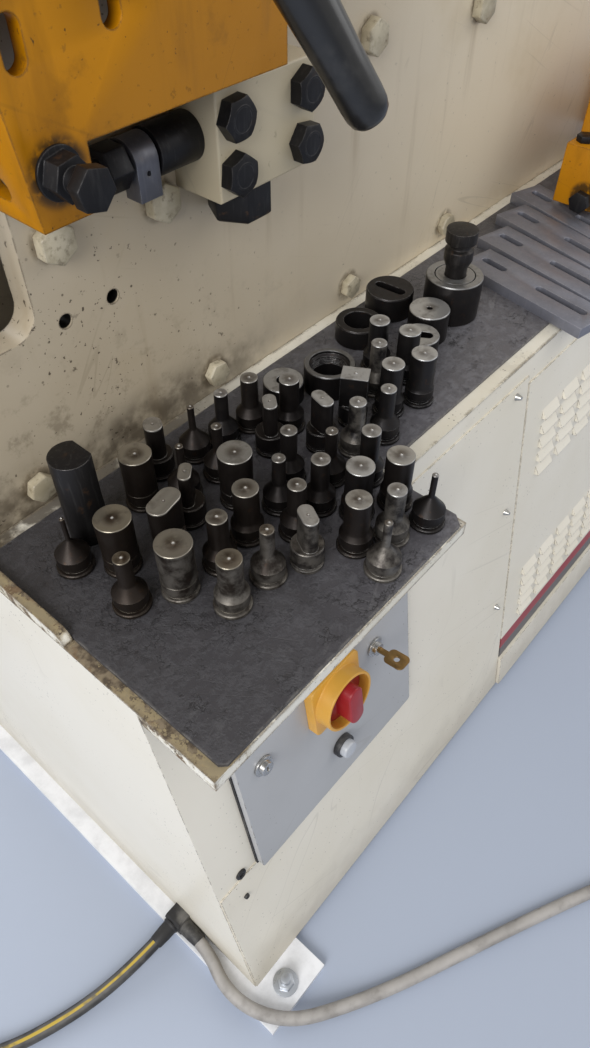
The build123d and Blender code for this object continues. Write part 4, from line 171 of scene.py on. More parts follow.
class Finish:
    """A material while it is put together from nodes, from its ground colour up."""

    def __init__(self, name, colour):
        self.material = bpy.data.materials.new(name)
        self.material.use_nodes = True
        self.tree = self.material.node_tree
        self.tree.nodes.clear()
        self.shader = self.add("ShaderNodeBsdfPrincipled")
        output = self.add("ShaderNodeOutputMaterial", None, {"Surface": self.shader.outputs[0]})
        output.is_active_output = True
        self.here = self.add("ShaderNodeTexCoord").outputs["Object"]
        self.colour = colour
        self.normal = None

    def add(self, kind, settings=None, sockets=None):
        """Adds a node: its settings first, then the values or links of its sockets."""
        node = self.tree.nodes.new(kind)
        for name, setting in (settings or {}).items():
            setattr(node, name, setting)
        return self.feed(node, sockets or {})

    def feed(self, node, sockets):
        """Gives each socket of a node its value or its link."""
        pairs = sockets.items() if isinstance(sockets, dict) else enumerate(sockets)
        for key, term in pairs:
            if isinstance(term, Value):
                term = term.socket
            if isinstance(term, bpy.types.NodeSocket):
                self.tree.links.new(term, node.inputs[key])
            else:
                node.inputs[key].default_value = term
        return node

    def stretched(self, x, y, z, turn=(0.0, 0.0, 0.0)):
        """The object's own coordinates, stretched along its axes, or along axes turned by some angles."""
        sockets = {"Vector": self.here, "Rotation": turn, "Scale": (1 / x, 1 / y, 1 / z)}
        return self.add("ShaderNodeMapping", {"vector_type": "TEXTURE"}, sockets).outputs[0]

    def noise(self, scale, detail=3.0, rough=0.55, at=None, warp=0.0):
        sockets = {"Vector": at or self.here, "Scale": scale, "Detail": detail}
        sockets.update({"Roughness": rough, "Distortion": warp})
        return Value(self, self.add("ShaderNodeTexNoise", None, sockets).outputs[0])

    def streaks(self, across, down, detail=4.0):
        """Noise of one scale across and another down the object's Z."""
        return self.noise(1.0, detail, at=self.stretched(across, across, down))

    def dots(self, scale, size, share):
        """Round spots, one in a share of the cells of this scale."""
        sockets = {"Vector": self.here, "Scale": scale}
        cells = self.add("ShaderNodeTexVoronoi", {"feature": "F1"}, sockets)
        chance = self.add("ShaderNodeSeparateColor", None, [cells.outputs["Color"]])
        near = Value(self, cells.outputs["Distance"]).between(size, size * 0.6)
        return near * Value(self, chance.outputs[0]).between(1 - share, 1.02 - share)

    def lines(self, scale, width, turn, upright):
        """Thin, nearly straight scratches that run one way, on an upright front or on a level top."""
        angle = math.radians(turn)
        turned = (0.0, angle, 0.0) if upright else (0.0, 0.0, angle)
        at = self.stretched(scale / 14, scale, scale, turned)
        return abs(self.noise(1.0, 1.0, 0.5, at, 0.1) - 0.5).between(width, width * 0.3)

    def scratches(self, scale, width, upright=True):
        """Scratches that run two ways, each only here and there."""
        one = self.lines(scale, width, 24, upright) * self.noise(scale * 0.3).between(0.5, 0.62)
        other = self.lines(scale * 1.4, width, -58, upright)
        return one.larger(other * self.noise(scale * 0.4, 2.0).between(0.52, 0.64))

    def close_to(self, place, radius, blur):
        """1 within a radius of a point of the object, fading out over the blur."""
        span = self.add("ShaderNodeVectorMath", {"operation": "DISTANCE"}, [self.here, tuple(place)])
        return Value(self, span.outputs["Value"]).between(radius + blur, radius)

    def along(self, axis):
        """How far along one of the object's axes a point lies, in metres."""
        split = self.add("ShaderNodeSeparateXYZ", None, [self.here])
        return Value(self, split.outputs["XYZ".index(axis)])

    def frayed(self, axis, low, high, scale, fray, detail=3.0):
        """0 at low and 1 at high along an axis, with a border that noise frays over some metres."""
        place = self.along(axis) + self.noise(scale, detail) * fray - fray / 2
        return place.between(low, high)

    def upward(self, low=0.6, high=0.95):
        """1 on what faces up, 0 on walls and undersides."""
        normal = self.add("ShaderNodeNewGeometry").outputs["Normal"]
        split = self.add("ShaderNodeSeparateXYZ", None, [normal])
        return Value(self, split.outputs["Z"]).between(low, high)

    def rounded(self, radius):
        """The surface normal with the sharp edges rounded off."""
        return self.add("ShaderNodeBevel", {"samples": 4}, {"Radius": radius}).outputs[0]

    def edges(self, radius, low=0.015, high=0.16):
        """1 along the sharp edges, 0 on flat and gently curved surfaces."""
        normal = self.add("ShaderNodeNewGeometry").outputs["Normal"]
        sockets = [self.rounded(radius), normal]
        match = self.add("ShaderNodeVectorMath", {"operation": "DOT_PRODUCT"}, sockets)
        return (1 - Value(self, match.outputs["Value"])).between(low, high)

    def chips(self, worn, low, high, flat, scale=95, pull=0.22):
        """Coat broken off along worn edges, which pull it off, and more rarely on flat surfaces."""
        torn = self.noise(scale, 6.0, 0.65) + worn * pull
        return torn.between(low, high) * worn.larger(flat)

    def attribute(self, name):
        node = self.add("ShaderNodeAttribute", {"attribute_name": name})
        return Value(self, node.outputs["Fac"])

    def blend(self, mask, one, other):
        """A colour that goes from one to the other with the mask."""
        sockets = {0: mask, 6: opaque(one), 7: opaque(other)}
        return self.add("ShaderNodeMix", {"data_type": "RGBA"}, sockets).outputs[2]

    def over(self, mask, colour):
        """Lays a colour over what is there already, where the mask is."""
        self.colour = self.blend(mask, self.colour, colour)

    def bump(self, height, strength, depth, radius=None):
        """Raises the surface by a height, over edges that are rounded to a radius."""
        sockets = {"Height": height, "Strength": strength, "Distance": depth}
        if radius is not None:
            sockets["Normal"] = self.rounded(radius)
        self.normal = self.add("ShaderNodeBump", None, sockets).outputs[0]

    def done(self, roughness, metallic=0.0, fixed=None):
        """Connects the surface. What is fixed is the same all over and is set on the shader itself."""
        sockets = {"Base Color": opaque(self.colour), "Roughness": roughness, "Metallic": metallic}
        if self.normal is not None:
            sockets["Normal"] = self.normal
        self.feed(self.shader, {**(fixed or {}), **sockets})
        return self.material


# --- Finishes ---


def enamel(name, colour, shade, specks, chips, dirt, edge=0.002):
    """Sprayed machine enamel: slight orange peel, dark specks, chipped edges and grime near the floor."""
    f = Finish(name, colour)
    tone = f.noise(2.6, 4.0).between(0.35, 0.75)
    f.over(tone * 0.55, shade)
    streaks = f.streaks(46, 2.4).between(0.6, 0.78) * f.noise(3.0).between(0.45, 0.65)
    f.over(streaks * 0.22 * dirt, tint(120, 104, 80))
    splashed = f.frayed("Z", 0.14, 0.0, 18, 0.12, 5.0) * dirt
    f.over(splashed * 0.6, tint(128, 118, 102))
    spots = f.dots(170, 0.2, specks) * f.noise(4.5, 2.0).between(0.42, 0.66)
    f.over(spots * 0.8, tint(74, 58, 42))
    chip = f.chips(f.edges(edge), chips, chips + 0.02, 0.25)
    f.over(chip, tint(82, 72, 60))
    f.over(f.scratches(9, 0.005) * 0.16, tint(120, 110, 94))
    f.bump(f.noise(520, 1.0) * 0.15 - chip - spots * 0.3, 0.25, 0.0004, 0.0015)
    return f.done(0.34 + tone * 0.1 + chip * 0.3 + splashed * 0.2)


BORE_RADIUS = 15.2


def soiled_enamel(name, colour, shade, bolts, shaded_bores):
    """Enamel of the side plates, oily at the shear, with painted light towards the punch end, dirt and
    painted shade along the foot at the shear, and painted shade round the bolt heads and inside the drilled
    holes.
    """
    f = Finish(name, colour)
    tone = f.noise(2.2, 4.0).between(0.35, 0.7)
    f.over(tone * 0.6, shade)
    # Painted light: the plate turns lighter towards its punch end, on the right, where light falls on it.
    painted_light_right = f.frayed("X", 0.55, 1.0, 3.0, 0.2)
    f.over(painted_light_right * 0.75, tint(228, 214, 188))
    shear_end = f.frayed("X", 0.62, 0.1, 4.0, 0.3)
    low = f.along("Z").between(1.0, 0.78)
    f.over(shear_end * 0.22, tint(150, 132, 100))
    cloud = f.noise(5.0, 6.0, 0.6).between(0.5, 0.75)
    f.over(cloud * 0.3, tint(176, 152, 104))
    run = f.streaks(30, 2.2).between(0.56, 0.74) * f.noise(2.6).between(0.42, 0.6)
    f.over(run * 0.3, tint(128, 104, 66))
    soot = f.noise(30, 6.0, 0.7).between(0.52, 0.66) * shear_end * low
    f.over(soot * 0.55, tint(92, 78, 56))
    crowd = f.noise(6.0, 2.0).between(0.4, 0.6) * (shear_end + 0.25)
    fleck = (f.noise(150, 3.0, 0.6) + crowd * 0.05).between(0.695, 0.712) * (shear_end + 0.15)
    flake = (f.noise(62, 5.0, 0.7) + crowd * 0.045).between(0.69, 0.705) * (low + 0.3)
    drops = f.dots(110, 0.2, 0.16) * crowd
    spots = fleck.larger(drops).larger(flake).smaller(1.0)
    # Dirt and painted shade: a dark band along the foot of the plate, just above the tray, at the shear end.
    foot = f.frayed("Z", 0.835, 0.775, 14, 0.07, 4.0) * shear_end.between(0.15, 0.6)
    f.over(foot * f.noise(34, 5.0).between(0.3, 0.6) * 0.75, tint(74, 62, 46))
    f.over(spots * 0.85, tint(58, 44, 32))
    # Painted shade: a dark ring round each bolt head, mottled by noise, where the head shades the plate.
    for bolt in bolts:
        darkening = f.close_to(bolt, 19 * MM, 7 * MM) * f.noise(90, 4.0).between(0.3, 0.6)
        f.over(darkening * 0.65, tint(84, 70, 50))
    chip = f.chips(f.edges(0.003), 0.66, 0.68, 0.2)
    f.over(chip, tint(82, 72, 60))
    # Painted shade: the walls of each drilled hole are painted near black, as the inside of a deep hole lies
    # in shade.
    for shaded_bore in shaded_bores:
        f.over(f.close_to(shaded_bore, BORE_RADIUS * MM, 0.6 * MM), tint(20, 18, 16))
    f.over(f.scratches(16, 0.005) * 0.18, tint(110, 96, 72))
    f.bump(f.noise(420, 1.0) * 0.15 - chip - spots * 0.3, 0.25, 0.0004, 0.0015)
    return f.done(0.32 + tone * 0.12 + chip * 0.3 + soot * 0.2)


def rubbed_enamel(name, colour):
    """Enamel on bolt heads, rubbed by spanners down to bright steel along the corners."""
    f = Finish(name, colour)
    f.over(f.noise(40, 4.0).between(0.35, 0.65) * 0.6, tint(146, 134, 108))
    worn = f.edges(0.0035, 0.01, 0.12)
    rubbed = (f.noise(160, 5.0, 0.65) + worn * 0.3).between(0.66, 0.72) * worn
    f.over(rubbed, tint(150, 144, 134))
    # Dirt on the heads, thicker towards the worn corners.
    darkening = (f.noise(110, 6.0, 0.65) + worn * 0.12).between(0.52, 0.7) * (1 - rubbed)
    f.over(darkening * 0.6, tint(92, 78, 58))
    f.bump(f.noise(400, 2.0) * 0.2 - rubbed, 0.25, 0.0004, 0.001)
    return f.done(0.36 + darkening * 0.2, rubbed * 0.8)


def flaked_enamel(name, colour, shade):
    """Enamel of the tool tray, flaked off along the rim down to rust and a grey-brown primer."""
    f = Finish(name, colour)
    tone = f.noise(7.0, 4.0).between(0.35, 0.7)
    f.over(tone * 0.6, shade)
    rim = f.edges(0.007, 0.004, 0.1)
    patches = f.noise(9, 3.0, 0.5).between(0.4, 0.62)
    left_end = f.frayed("X", 0.075, 0.02, 20, 0.03)
    f.over(left_end * f.upward(), tint(146, 133, 106))
    back = f.along("Y").between(-0.034, -0.022) * f.frayed("X", 0.46, 0.3, 12, 0.2)
    f.over(back * f.noise(48, 5.0).between(0.26, 0.5) * 0.85, tint(66, 56, 44))
    torn = f.noise(38, 7.0, 0.75) + patches * 0.13 + left_end * 0.08 + rim * 0.13
    flakes = torn.between(0.66, 0.68) * rim.larger(left_end).larger(0.12)
    yellowed = torn.between(0.58, 0.66) * rim.larger(left_end)
    f.over(yellowed * 0.5, tint(168, 150, 112))
    primer = f.blend(f.noise(110, 5.0).between(0.4, 0.62), tint(134, 120, 98), tint(84, 72, 58))
    primer = f.blend(f.noise(52, 5.0).between(0.52, 0.62) * 0.6, primer, tint(116, 90, 62))
    f.over(flakes, primer)
    spots = f.dots(240, 0.3, 0.3) * f.noise(12).between(0.45, 0.6)
    f.over(spots * 0.7, tint(70, 58, 46))
    f.bump(f.noise(160, 4.0) * 0.3 - flakes, 0.6, 0.0008, 0.002)
    return f.done(0.45 + flakes * 0.3)


def machine_yellow(name, colour, bolts=()):
    """Amber enamel with oily stains, rubbed corners, fine scratches and grease round the bolt heads."""
    f = Finish(name, colour)
    tone = f.noise(7.0, 5.0).between(0.35, 0.7)
    f.over(tone * 0.6, tint(160, 103, 3))
    oily = f.streaks(26, 5, 5.0).between(0.5, 0.7)
    f.over(oily * 0.45, tint(118, 76, 4))
    greasy = f.noise(16, 6.0, 0.65).between(0.58, 0.74)
    f.over(greasy * 0.35, tint(78, 52, 16))
    chip = f.chips(f.edges(0.003), 0.61, 0.65, 0.3, 120)
    f.over(chip, tint(52, 42, 28))
    for bolt in bolts:
        darkening = f.close_to(bolt, 21 * MM, 9 * MM) * f.noise(110, 4.0).between(0.25, 0.55)
        f.over(darkening * 0.85, tint(40, 31, 18))
    fleck = (f.noise(150, 3.0, 0.6) + f.noise(9, 2.0) * 0.04).between(0.71, 0.73)
    f.over(fleck * 0.8, tint(60, 44, 24))
    f.over(f.scratches(14, 0.006) * 0.25, tint(96, 66, 20))
    f.bump(f.noise(420, 1.0) * 0.2 - chip, 0.3, 0.0005, 0.0018)
    rough = 0.4 + tone * 0.12 - oily * 0.08 + chip * 0.3
    return f.done(rough, 0.0, {"Specular IOR Level": 0.3})


def scuffed_rubber(name, colour, worn_colour):
    """Rubber sheet, scuffed pale by the tools that are dragged over it, cracked and soaked with oil."""
    f = Finish(name, colour)
    cloudy = f.noise(5.0, 6.0, 0.6).between(0.36, 0.7)
    f.over(cloudy * 0.8, worn_colour)
    pebbled = f.noise(95, 6.0, 0.7).between(0.42, 0.62)
    f.over(pebbled * 0.5, tint(118, 117, 122))
    scratch = f.scratches(20, 0.006, False).larger(f.scratches(37, 0.008, False))
    f.over(scratch * 0.22, tint(134, 132, 132))
    swarf = f.dots(300, 0.16, 0.12) * f.noise(14).between(0.4, 0.6)
    f.over(swarf * 0.7, tint(160, 156, 150))
    oily = f.noise(3.4, 4.0, warp=0.3).between(0.48, 0.64)
    f.over(oily * 0.5, tint(34, 32, 33))
    cut = f.noise(64, 6.0, 0.7).between(0.57, 0.65)
    f.over(cut * 0.45, tint(36, 34, 36))
    crack = abs(f.noise(46, 5.0, 0.6) - 0.5).between(0.022, 0.006) * f.noise(15).between(0.48, 0.62)
    f.over(crack * 0.75, tint(26, 24, 26))
    f.over(f.frayed("X", 0.42, 0.06, 5.0, 0.3, 4.0) * 0.65, tint(30, 28, 29))
    rim = f.edges(0.004) * f.noise(60, 4.0).between(0.4, 0.6)
    f.over(rim * 0.5, tint(150, 146, 138))
    f.bump(pebbled * 0.6 - scratch * 0.3 - cut * 0.5 - crack * 0.5, 0.5, 0.0014, 0.0012)
    return f.done(0.5 - oily * 0.14 + scratch * 0.1)


# Turning marks, as radians of a sine in each metre along a tool or out from its middle.
FLANK_FEED = 5200
FACE_FEED = 9000


def tool_steel(name, dark, warm, silver):
    """Hardened tools: dark scaled flanks that differ from one to the next, and ground end faces."""
    f = Finish(name, warm)
    tone = f.attribute("tone")
    shine = f.attribute("shine")
    face_depth = f.attribute("crest") - f.along("Z")
    ground = f.attribute("ground") * face_depth.between(0.0016, 0.0009)
    f.over(tone, dark)
    patches = f.noise(70, 5.0, 0.6).between(0.4, 0.7)
    f.over(patches * 0.35, tint(46, 41, 37))
    rust = f.noise(130, 5.0).between(0.6, 0.72)
    f.over(rust * 0.3, tint(78, 54, 36))
    rubbed = f.noise(55, 6.0, 0.65).between(0.34, 0.62)
    f.over(shine * rubbed * 0.8, silver)
    turned = (f.along("Z") * FLANK_FEED).sine() * 0.5 + 0.5
    spread = f.attribute("radius")
    rings = (spread * FACE_FEED).sine() * 0.5 + 0.5
    face = f.blend(tone, tint(144, 136, 120), tint(186, 186, 186))
    face = f.blend(rings * 0.25, face, tint(104, 100, 95))
    tarnish = spread.between(0.014, 0.003) * f.noise(90, 4.0).between(0.2, 0.55)
    face = f.blend(tarnish * (1.0 - tone * 0.45), face, tint(66, 54, 43))
    face = f.blend(f.noise(70, 5.0).between(0.5, 0.7) * 0.5, face, tint(92, 84, 74))
    nib = f.attribute("nib")
    face = f.blend(nib, face, tint(232, 230, 226))
    worn = f.edges(0.0012) * f.noise(200, 3.0).between(0.3, 0.6)
    bright = ground.larger(worn * 0.75)
    f.over(bright, face)
    relief = turned * 0.12 * (1 - ground) + rings * 0.08 * ground + patches * 0.3
    f.bump(relief, 0.25, 0.0004, 0.0006)
    return f.done(0.4 - bright * 0.1 + patches * 0.12 - nib * 0.15, 0.72)


def worn_steel(name, colour, bright, rough, metallic, edge=0.0015, rust=0.3):
    """Machined or blackened steel with bright rubbed edges, stains and a little rust."""
    f = Finish(name, colour)
    cloudy = f.noise(26, 6.0, 0.6).between(0.35, 0.7)
    f.over(cloudy * 0.4, [c * 0.55 for c in colour])
    rubbed = f.streaks(240, 26).between(0.5, 0.75)
    f.over(rubbed * 0.14, bright)
    brown = f.noise(90, 5.0).between(0.6, 0.74) * f.noise(12).between(0.45, 0.6)
    f.over(brown * rust, tint(116, 82, 52))
    worn = f.edges(edge) * f.noise(170, 4.0).between(0.32, 0.55)
    f.over(worn * 0.75, bright)
    f.bump(f.noise(300) * 0.25 + brown * 0.3, 0.2, 0.0005, 0.001)
    return f.done(rough + cloudy * 0.12 - worn * 0.1, metallic)


def plated(name, colour, rough=0.28):
    """Zinc, chrome or nickel plate with faint clouds and dull spots."""
    f = Finish(name, colour)
    cloudy = f.noise(60, 5.0, 0.6).between(0.35, 0.7)
    f.over(cloudy * 0.35, [c * 0.6 for c in colour])
    dull = f.noise(190, 4.0).between(0.6, 0.72)
    f.over(dull * 0.4, tint(118, 112, 104))
    f.bump(f.noise(400, 2.0), 0.08, 0.0003, 0.0008)
    return f.done(rough + cloudy * 0.15 + dull * 0.2, 1.0)


def moulded(name, colour, rough, dusty, fixed=None):
    """Moulded plastic or rubber: an even colour with some dust, paler edges and a fine grain."""
    f = Finish(name, colour)
    cloudy = f.noise(34, 4.0).between(0.4, 0.7)
    f.over(cloudy * 0.25, [c * 0.7 for c in colour])
    dust = f.noise(14, 6.0, 0.65).between(0.5, 0.75)
    f.over(dust * dusty, tint(178, 174, 166))
    rubbed = f.edges(0.0014) * f.noise(120, 4.0).between(0.35, 0.6)
    f.over(rubbed * 0.3, [min(1.0, c * 1.5 + 0.03) for c in colour])
    f.bump(f.noise(700, 2.0), 0.12, 0.0002, 0.0012)
    return f.done(rough + dust * 0.15 + cloudy * 0.06, 0.0, fixed)


def cable_jacket(name, colour, dusty, stripe=None):
    """Rubber cable jacket, dusty on top, with an optional coloured line along its upper side."""
    f = Finish(name, colour)
    cloudy = f.noise(9, 5.0, 0.6).between(0.4, 0.65)
    f.over(cloudy * 0.5, dusty)
    trodden = f.noise(60, 5.0).between(0.5, 0.7)
    f.over(trodden * 0.35, tint(96, 92, 86))
    dust = f.upward() * f.noise(26, 4.0).between(0.3, 0.6)
    f.over(dust * 0.4, dusty)
    if stripe is not None:
        line = f.upward(0.955, 0.985) * f.noise(30, 4.0).between(0.3, 0.5)
        f.over(line * 0.85, stripe)
    f.bump(f.noise(260, 4.0), 0.25, 0.0006)
    return f.done(0.55 + cloudy * 0.1)


# Heights of the lower and the upper edge of the red line.
RED_LINE = (123, 150)


def banded_panel(name, colour, shade):
    """Louvred panel in the cabinet enamel, with a red and a dark grey line painted along its foot."""
    f = Finish(name, colour)
    tone = f.noise(2.6, 4.0).between(0.35, 0.75)
    f.over(tone * 0.55, shade)
    height = f.along("Z")
    blur = 0.5 * MM
    foot, top = (line * MM for line in RED_LINE)
    red = height.between(foot - blur, foot + blur) * height.between(top + blur, top - blur)
    dark = height.between(foot + blur, foot - blur)
    chip = f.chips(f.edges(0.002), 0.68, 0.7, 0.2, pull=0.2)
    scuffed = f.noise(60, 5.0).between(0.66, 0.7)
    f.over(red, f.blend(scuffed * 0.5, tint(150, 34, 44), tint(196, 150, 146)))
    f.over(dark, f.blend(scuffed * 0.6, tint(92, 90, 92), tint(168, 162, 154)))
    spots = f.dots(170, 0.2, 0.2) * f.noise(4.5).between(0.45, 0.66)
    f.over(spots * 0.7, tint(74, 58, 42))
    f.over(chip, tint(82, 72, 60))
    f.bump(f.noise(520, 1.0) * 0.15 - chip, 0.25, 0.0004, 0.0012)
    return f.done(0.34 + tone * 0.1 + chip * 0.3)


# --- Settings that a user would change ---


class PaintSettings(bpy.types.PropertyGroup):
    """Colours of the painted and moulded surfaces."""

    cabinet: FloatVectorProperty(
        name="Cabinet enamel", description="Cream of the cabinet and tray", subtype="COLOR",
        size=3, min=0, max=1, default=tint(232, 226, 212),
    )
    # Partly painted shade: the plates' cream is set darker than the cabinet's, as if the plates stood in
    # shade.
    plate: FloatVectorProperty(
        name="Frame enamel", description="Cream of the side plates", subtype="COLOR",
        size=3, min=0, max=1, default=tint(200, 188, 167),
    )
    yellow: FloatVectorProperty(
        name="Guard yellow", description="Amber of the hold-down and support", subtype="COLOR",
        size=3, min=0, max=1, default=tint(184, 122, 3),
    )
    door: FloatVectorProperty(
        name="Door grey", description="Grey of the electrical door", subtype="COLOR",
        size=3, min=0, max=1, default=tint(174, 175, 177),
    )
    mat: FloatVectorProperty(
        name="Mat", description="Rubber of the tray mat", subtype="COLOR",
        size=3, min=0, max=1, default=tint(90, 88, 93),
    )
    knob: FloatVectorProperty(
        name="Switch red", description="Red of the main switch knob", subtype="COLOR",
        size=3, min=0, max=1, default=tint(152, 28, 36),
    )


class ToolingSettings(bpy.types.PropertyGroup):
    """Sizes of the loose punches that stand on the mat."""

    head: FloatProperty(
        name="Head diameter", description="Flange at the foot of a punch", unit="LENGTH",
        default=40 * MM, min=30 * MM, max=44 * MM,
    )
    body: FloatProperty(
        name="Body diameter", description="Shank above the flange", unit="LENGTH",
        default=36 * MM, min=20 * MM, max=40 * MM,
    )
    height: FloatProperty(
        name="Height", description="Overall height of a punch", unit="LENGTH",
        default=72 * MM, min=40 * MM, max=90 * MM,
    )
    groove: FloatProperty(
        name="Groove depth", description="Depth of the groove above the flange", unit="LENGTH",
        default=2.2 * MM, min=0, max=4 * MM,
    )
    nib: FloatProperty(
        name="Nib height", description="Centring nib on the end face", unit="LENGTH",
        default=1.2 * MM, min=0, max=3 * MM,
    )
    steps: IntProperty(
        name="Steps", description="Faces round each punch", default=30, min=12, max=64,
    )


class CordSettings(bpy.types.PropertyGroup):
    """The two cables that leave the clamp at the foot of the cabinet."""

    diameter: FloatProperty(
        name="Cable diameter", description="Outside of the rubber jacket", unit="LENGTH",
        default=20 * MM, min=5 * MM, max=30 * MM,
    )
    sleeve: FloatProperty(
        name="Sleeve length", description="Tapered sleeve where a cable leaves the clamp", unit="LENGTH",
        default=36 * MM, min=20 * MM, max=60 * MM,
    )


class StageSettings(bpy.types.PropertyGroup):
    """Floor, lamps and lens."""

    floor: FloatVectorProperty(
        name="Floor", description="Colour of the plain floor", subtype="COLOR",
        size=3, min=0, max=1, default=tint(166, 175, 192),
    )
    key: FloatProperty(
        name="Key lamp", description="Power of the large soft lamp", default=42.0, min=0, max=500,
    )
    sky: FloatProperty(
        name="Room light", description="Strength of the even room light", default=0.62, min=0, max=5,
    )
    lens: FloatProperty(
        name="Lens", description="Focal length on a 36 mm frame", default=26.27, min=10, max=200,
    )


# --- Mesh helpers ---


MERGE = 1e-6
SHARP = 32.0
CHAMFER = 30.0
RING_STEPS = 48


def placed(name, data):
    """An object for a mesh, curve, lamp or camera, linked to the scene."""
    item = bpy.data.objects.new(name, data)
    bpy.context.scene.collection.objects.link(item)
    return item


def finished(mesh, name, material, body, sharp=SHARP):
    """Turns a bmesh into a piece that rides on a body and takes its finish from a slot."""
    bmesh.ops.remove_doubles(mesh, verts=mesh.verts, dist=MERGE)
    bmesh.ops.recalc_face_normals(mesh, faces=mesh.faces)
    data = bpy.data.meshes.new(name)
    mesh.to_mesh(data)
    mesh.free()
    for polygon in data.polygons:
        polygon.use_smooth = True
    data.set_sharp_from_angle(angle=math.radians(sharp))
    data.materials.append(material)
    piece = placed(name, data)
    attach(piece, body)
    return piece


def spun(mesh, outline, place, steps):
    """Turns an outline of (radius, height) points in millimetres round the local Z of a place."""
    before = set(mesh.verts)
    verts = [mesh.verts.new((radius * MM, 0, height * MM)) for radius, height in outline]
    edges = [mesh.edges.new(pair) for pair in zip(verts, verts[1:])]
    bmesh.ops.spin(
        mesh, geom=verts + edges, cent=(0, 0, 0), axis=(0, 0, 1), dvec=(0, 0, 0),
        angle=math.tau, steps=steps, use_merge=True, use_duplicate=False,
    )
    bmesh.ops.remove_doubles(mesh, verts=[v for v in mesh.verts if v not in before], dist=MERGE)
    turned = [v for v in mesh.verts if v not in before]
    bmesh.ops.transform(mesh, matrix=place, verts=turned)
    return turned


def on_ring(angle, length, width, height):
    """A point of a circle, or of an oblong where the length is more than the width, in millimetres."""
    x, y = math.cos(angle) * width / 2, math.sin(angle) * width / 2
    if abs(x) > 1e-4:
        x += math.copysign((length - width) / 2, x)
    return mm(x, y, height)


def sleeve(mesh, rings, place):
    """Draws a loop of edges through rings of (length, width, height) and back to the first: a hollow body."""
    loop = bmesh.ops.create_circle(mesh, cap_ends=False, segments=RING_STEPS, radius=1.0)["verts"]
    angles = {vert: math.atan2(vert.co.y, vert.co.x) for vert in loop}
    edges = list({e for v in loop for e in v.link_edges})
    for vert, angle in angles.items():
        vert.co = on_ring(angle, *rings[0])
    whole = list(loop)
    for ring in rings[1:] + rings[:1]:
        grown = bmesh.ops.extrude_edge_only(mesh, edges=edges)["geom"]
        edges = [g for g in grown if isinstance(g, bmesh.types.BMEdge)]
        fresh = {}
        for vert in (g for g in grown if isinstance(g, bmesh.types.BMVert)):
            source = next(n for n in (e.other_vert(vert) for e in vert.link_edges) if n in angles)
            fresh[vert] = angles[source]
        for vert, angle in fresh.items():
            vert.co = on_ring(angle, *ring)
        angles = fresh
        whole += list(fresh)
    bmesh.ops.transform(mesh, matrix=place, verts=whole)
    return whole


def hexagon_head(mesh, flats, height, place):
    """A hexagon head whose corners are turned off in a cone, as a real bolt's are."""
    radius = flats / 2 * MM
    verts = bmesh.ops.create_cone(
        mesh, cap_ends=True, segments=24, radius1=radius, radius2=radius, depth=height * MM
    )["verts"]
    top = [f for f in {f for v in verts for f in v.link_faces} if f.normal.z > 0.9 and len(f.verts) > 4]
    bmesh.ops.inset_individual(mesh, faces=top, thickness=flats * 0.03 * MM, depth=0.0)
    inner = {v for f in top for v in f.verts}
    for vert in verts:
        angle = math.atan2(vert.co.y, vert.co.x) % math.radians(60) - math.radians(30)
        reach = radius / math.cos(angle)
        length = math.hypot(vert.co.x, vert.co.y)
        if vert in inner or length == 0:
            continue
        vert.co.x *= reach / length
        vert.co.y *= reach / length
        if vert.co.z > 0:
            vert.co.z -= (reach - flats * 0.47 * MM) * math.tan(math.radians(CHAMFER))
    whole = list(set(verts) | inner)
    bmesh.ops.transform(mesh, matrix=place @ Matrix.Translation((0, 0, height / 2 * MM)), verts=whole)


def softened(node, width, material, segments=2):
    """A merged copy of a CAD node with its sharp edges rounded. It stands for the node."""
    mesh = bmesh.new()
    mesh.from_mesh(frame["nodes"][node].data)
    bmesh.ops.remove_doubles(mesh, verts=mesh.verts, dist=2 * MERGE)
    flat = math.radians(0.6)
    bmesh.ops.dissolve_limit(mesh, angle_limit=flat, verts=mesh.verts, edges=mesh.edges)
    limit = math.radians(SHARP)
    keen = [e for e in mesh.edges if len(e.link_faces) == 2 and e.calc_face_angle(0.0) > limit]
    bmesh.ops.bevel(
        mesh, geom=keen, offset=width * MM, offset_type="OFFSET", segments=segments, profile=0.5,
        affect="EDGES", clamp_overlap=True, material=-1,
    )
    piece = finished(mesh, node + "_dressed", material, body_of(frame["nodes"][node])[0])
    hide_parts(node)
    return piece


def paint_node(node, material):
    """Gives a carried-over CAD node its finish."""
    data = frame["nodes"][node].data
    data.materials.clear()
    data.materials.append(material)


# --- Stage ---


CAMERA_PLACE = (-160, -598, 1383)
CAMERA_RIGHT = Vector((0.6550092, -0.75560984, 0.00408929))
CAMERA_DOWN = Vector((-0.56014805, -0.48918888, -0.66852704))
CAMERA_FORWARD = Vector((0.50714604, 0.43560075, -0.7436766))
FLOOR_REACH = 30.0
LAMPS = (
    ("key_lamp", (-3.4, -1.3, 3.2), (0.4, -0.1, 0.7), 2.6, 3.8),
    ("fill_lamp", (3.4, -2.2, 3.0), (0.7, 0.0, 0.8), 2.4, 0.7),
    ("back_lamp", (0.6, 3.4, 3.2), (0.7, 0.2, 0.9), 2.4, 1.0),
)


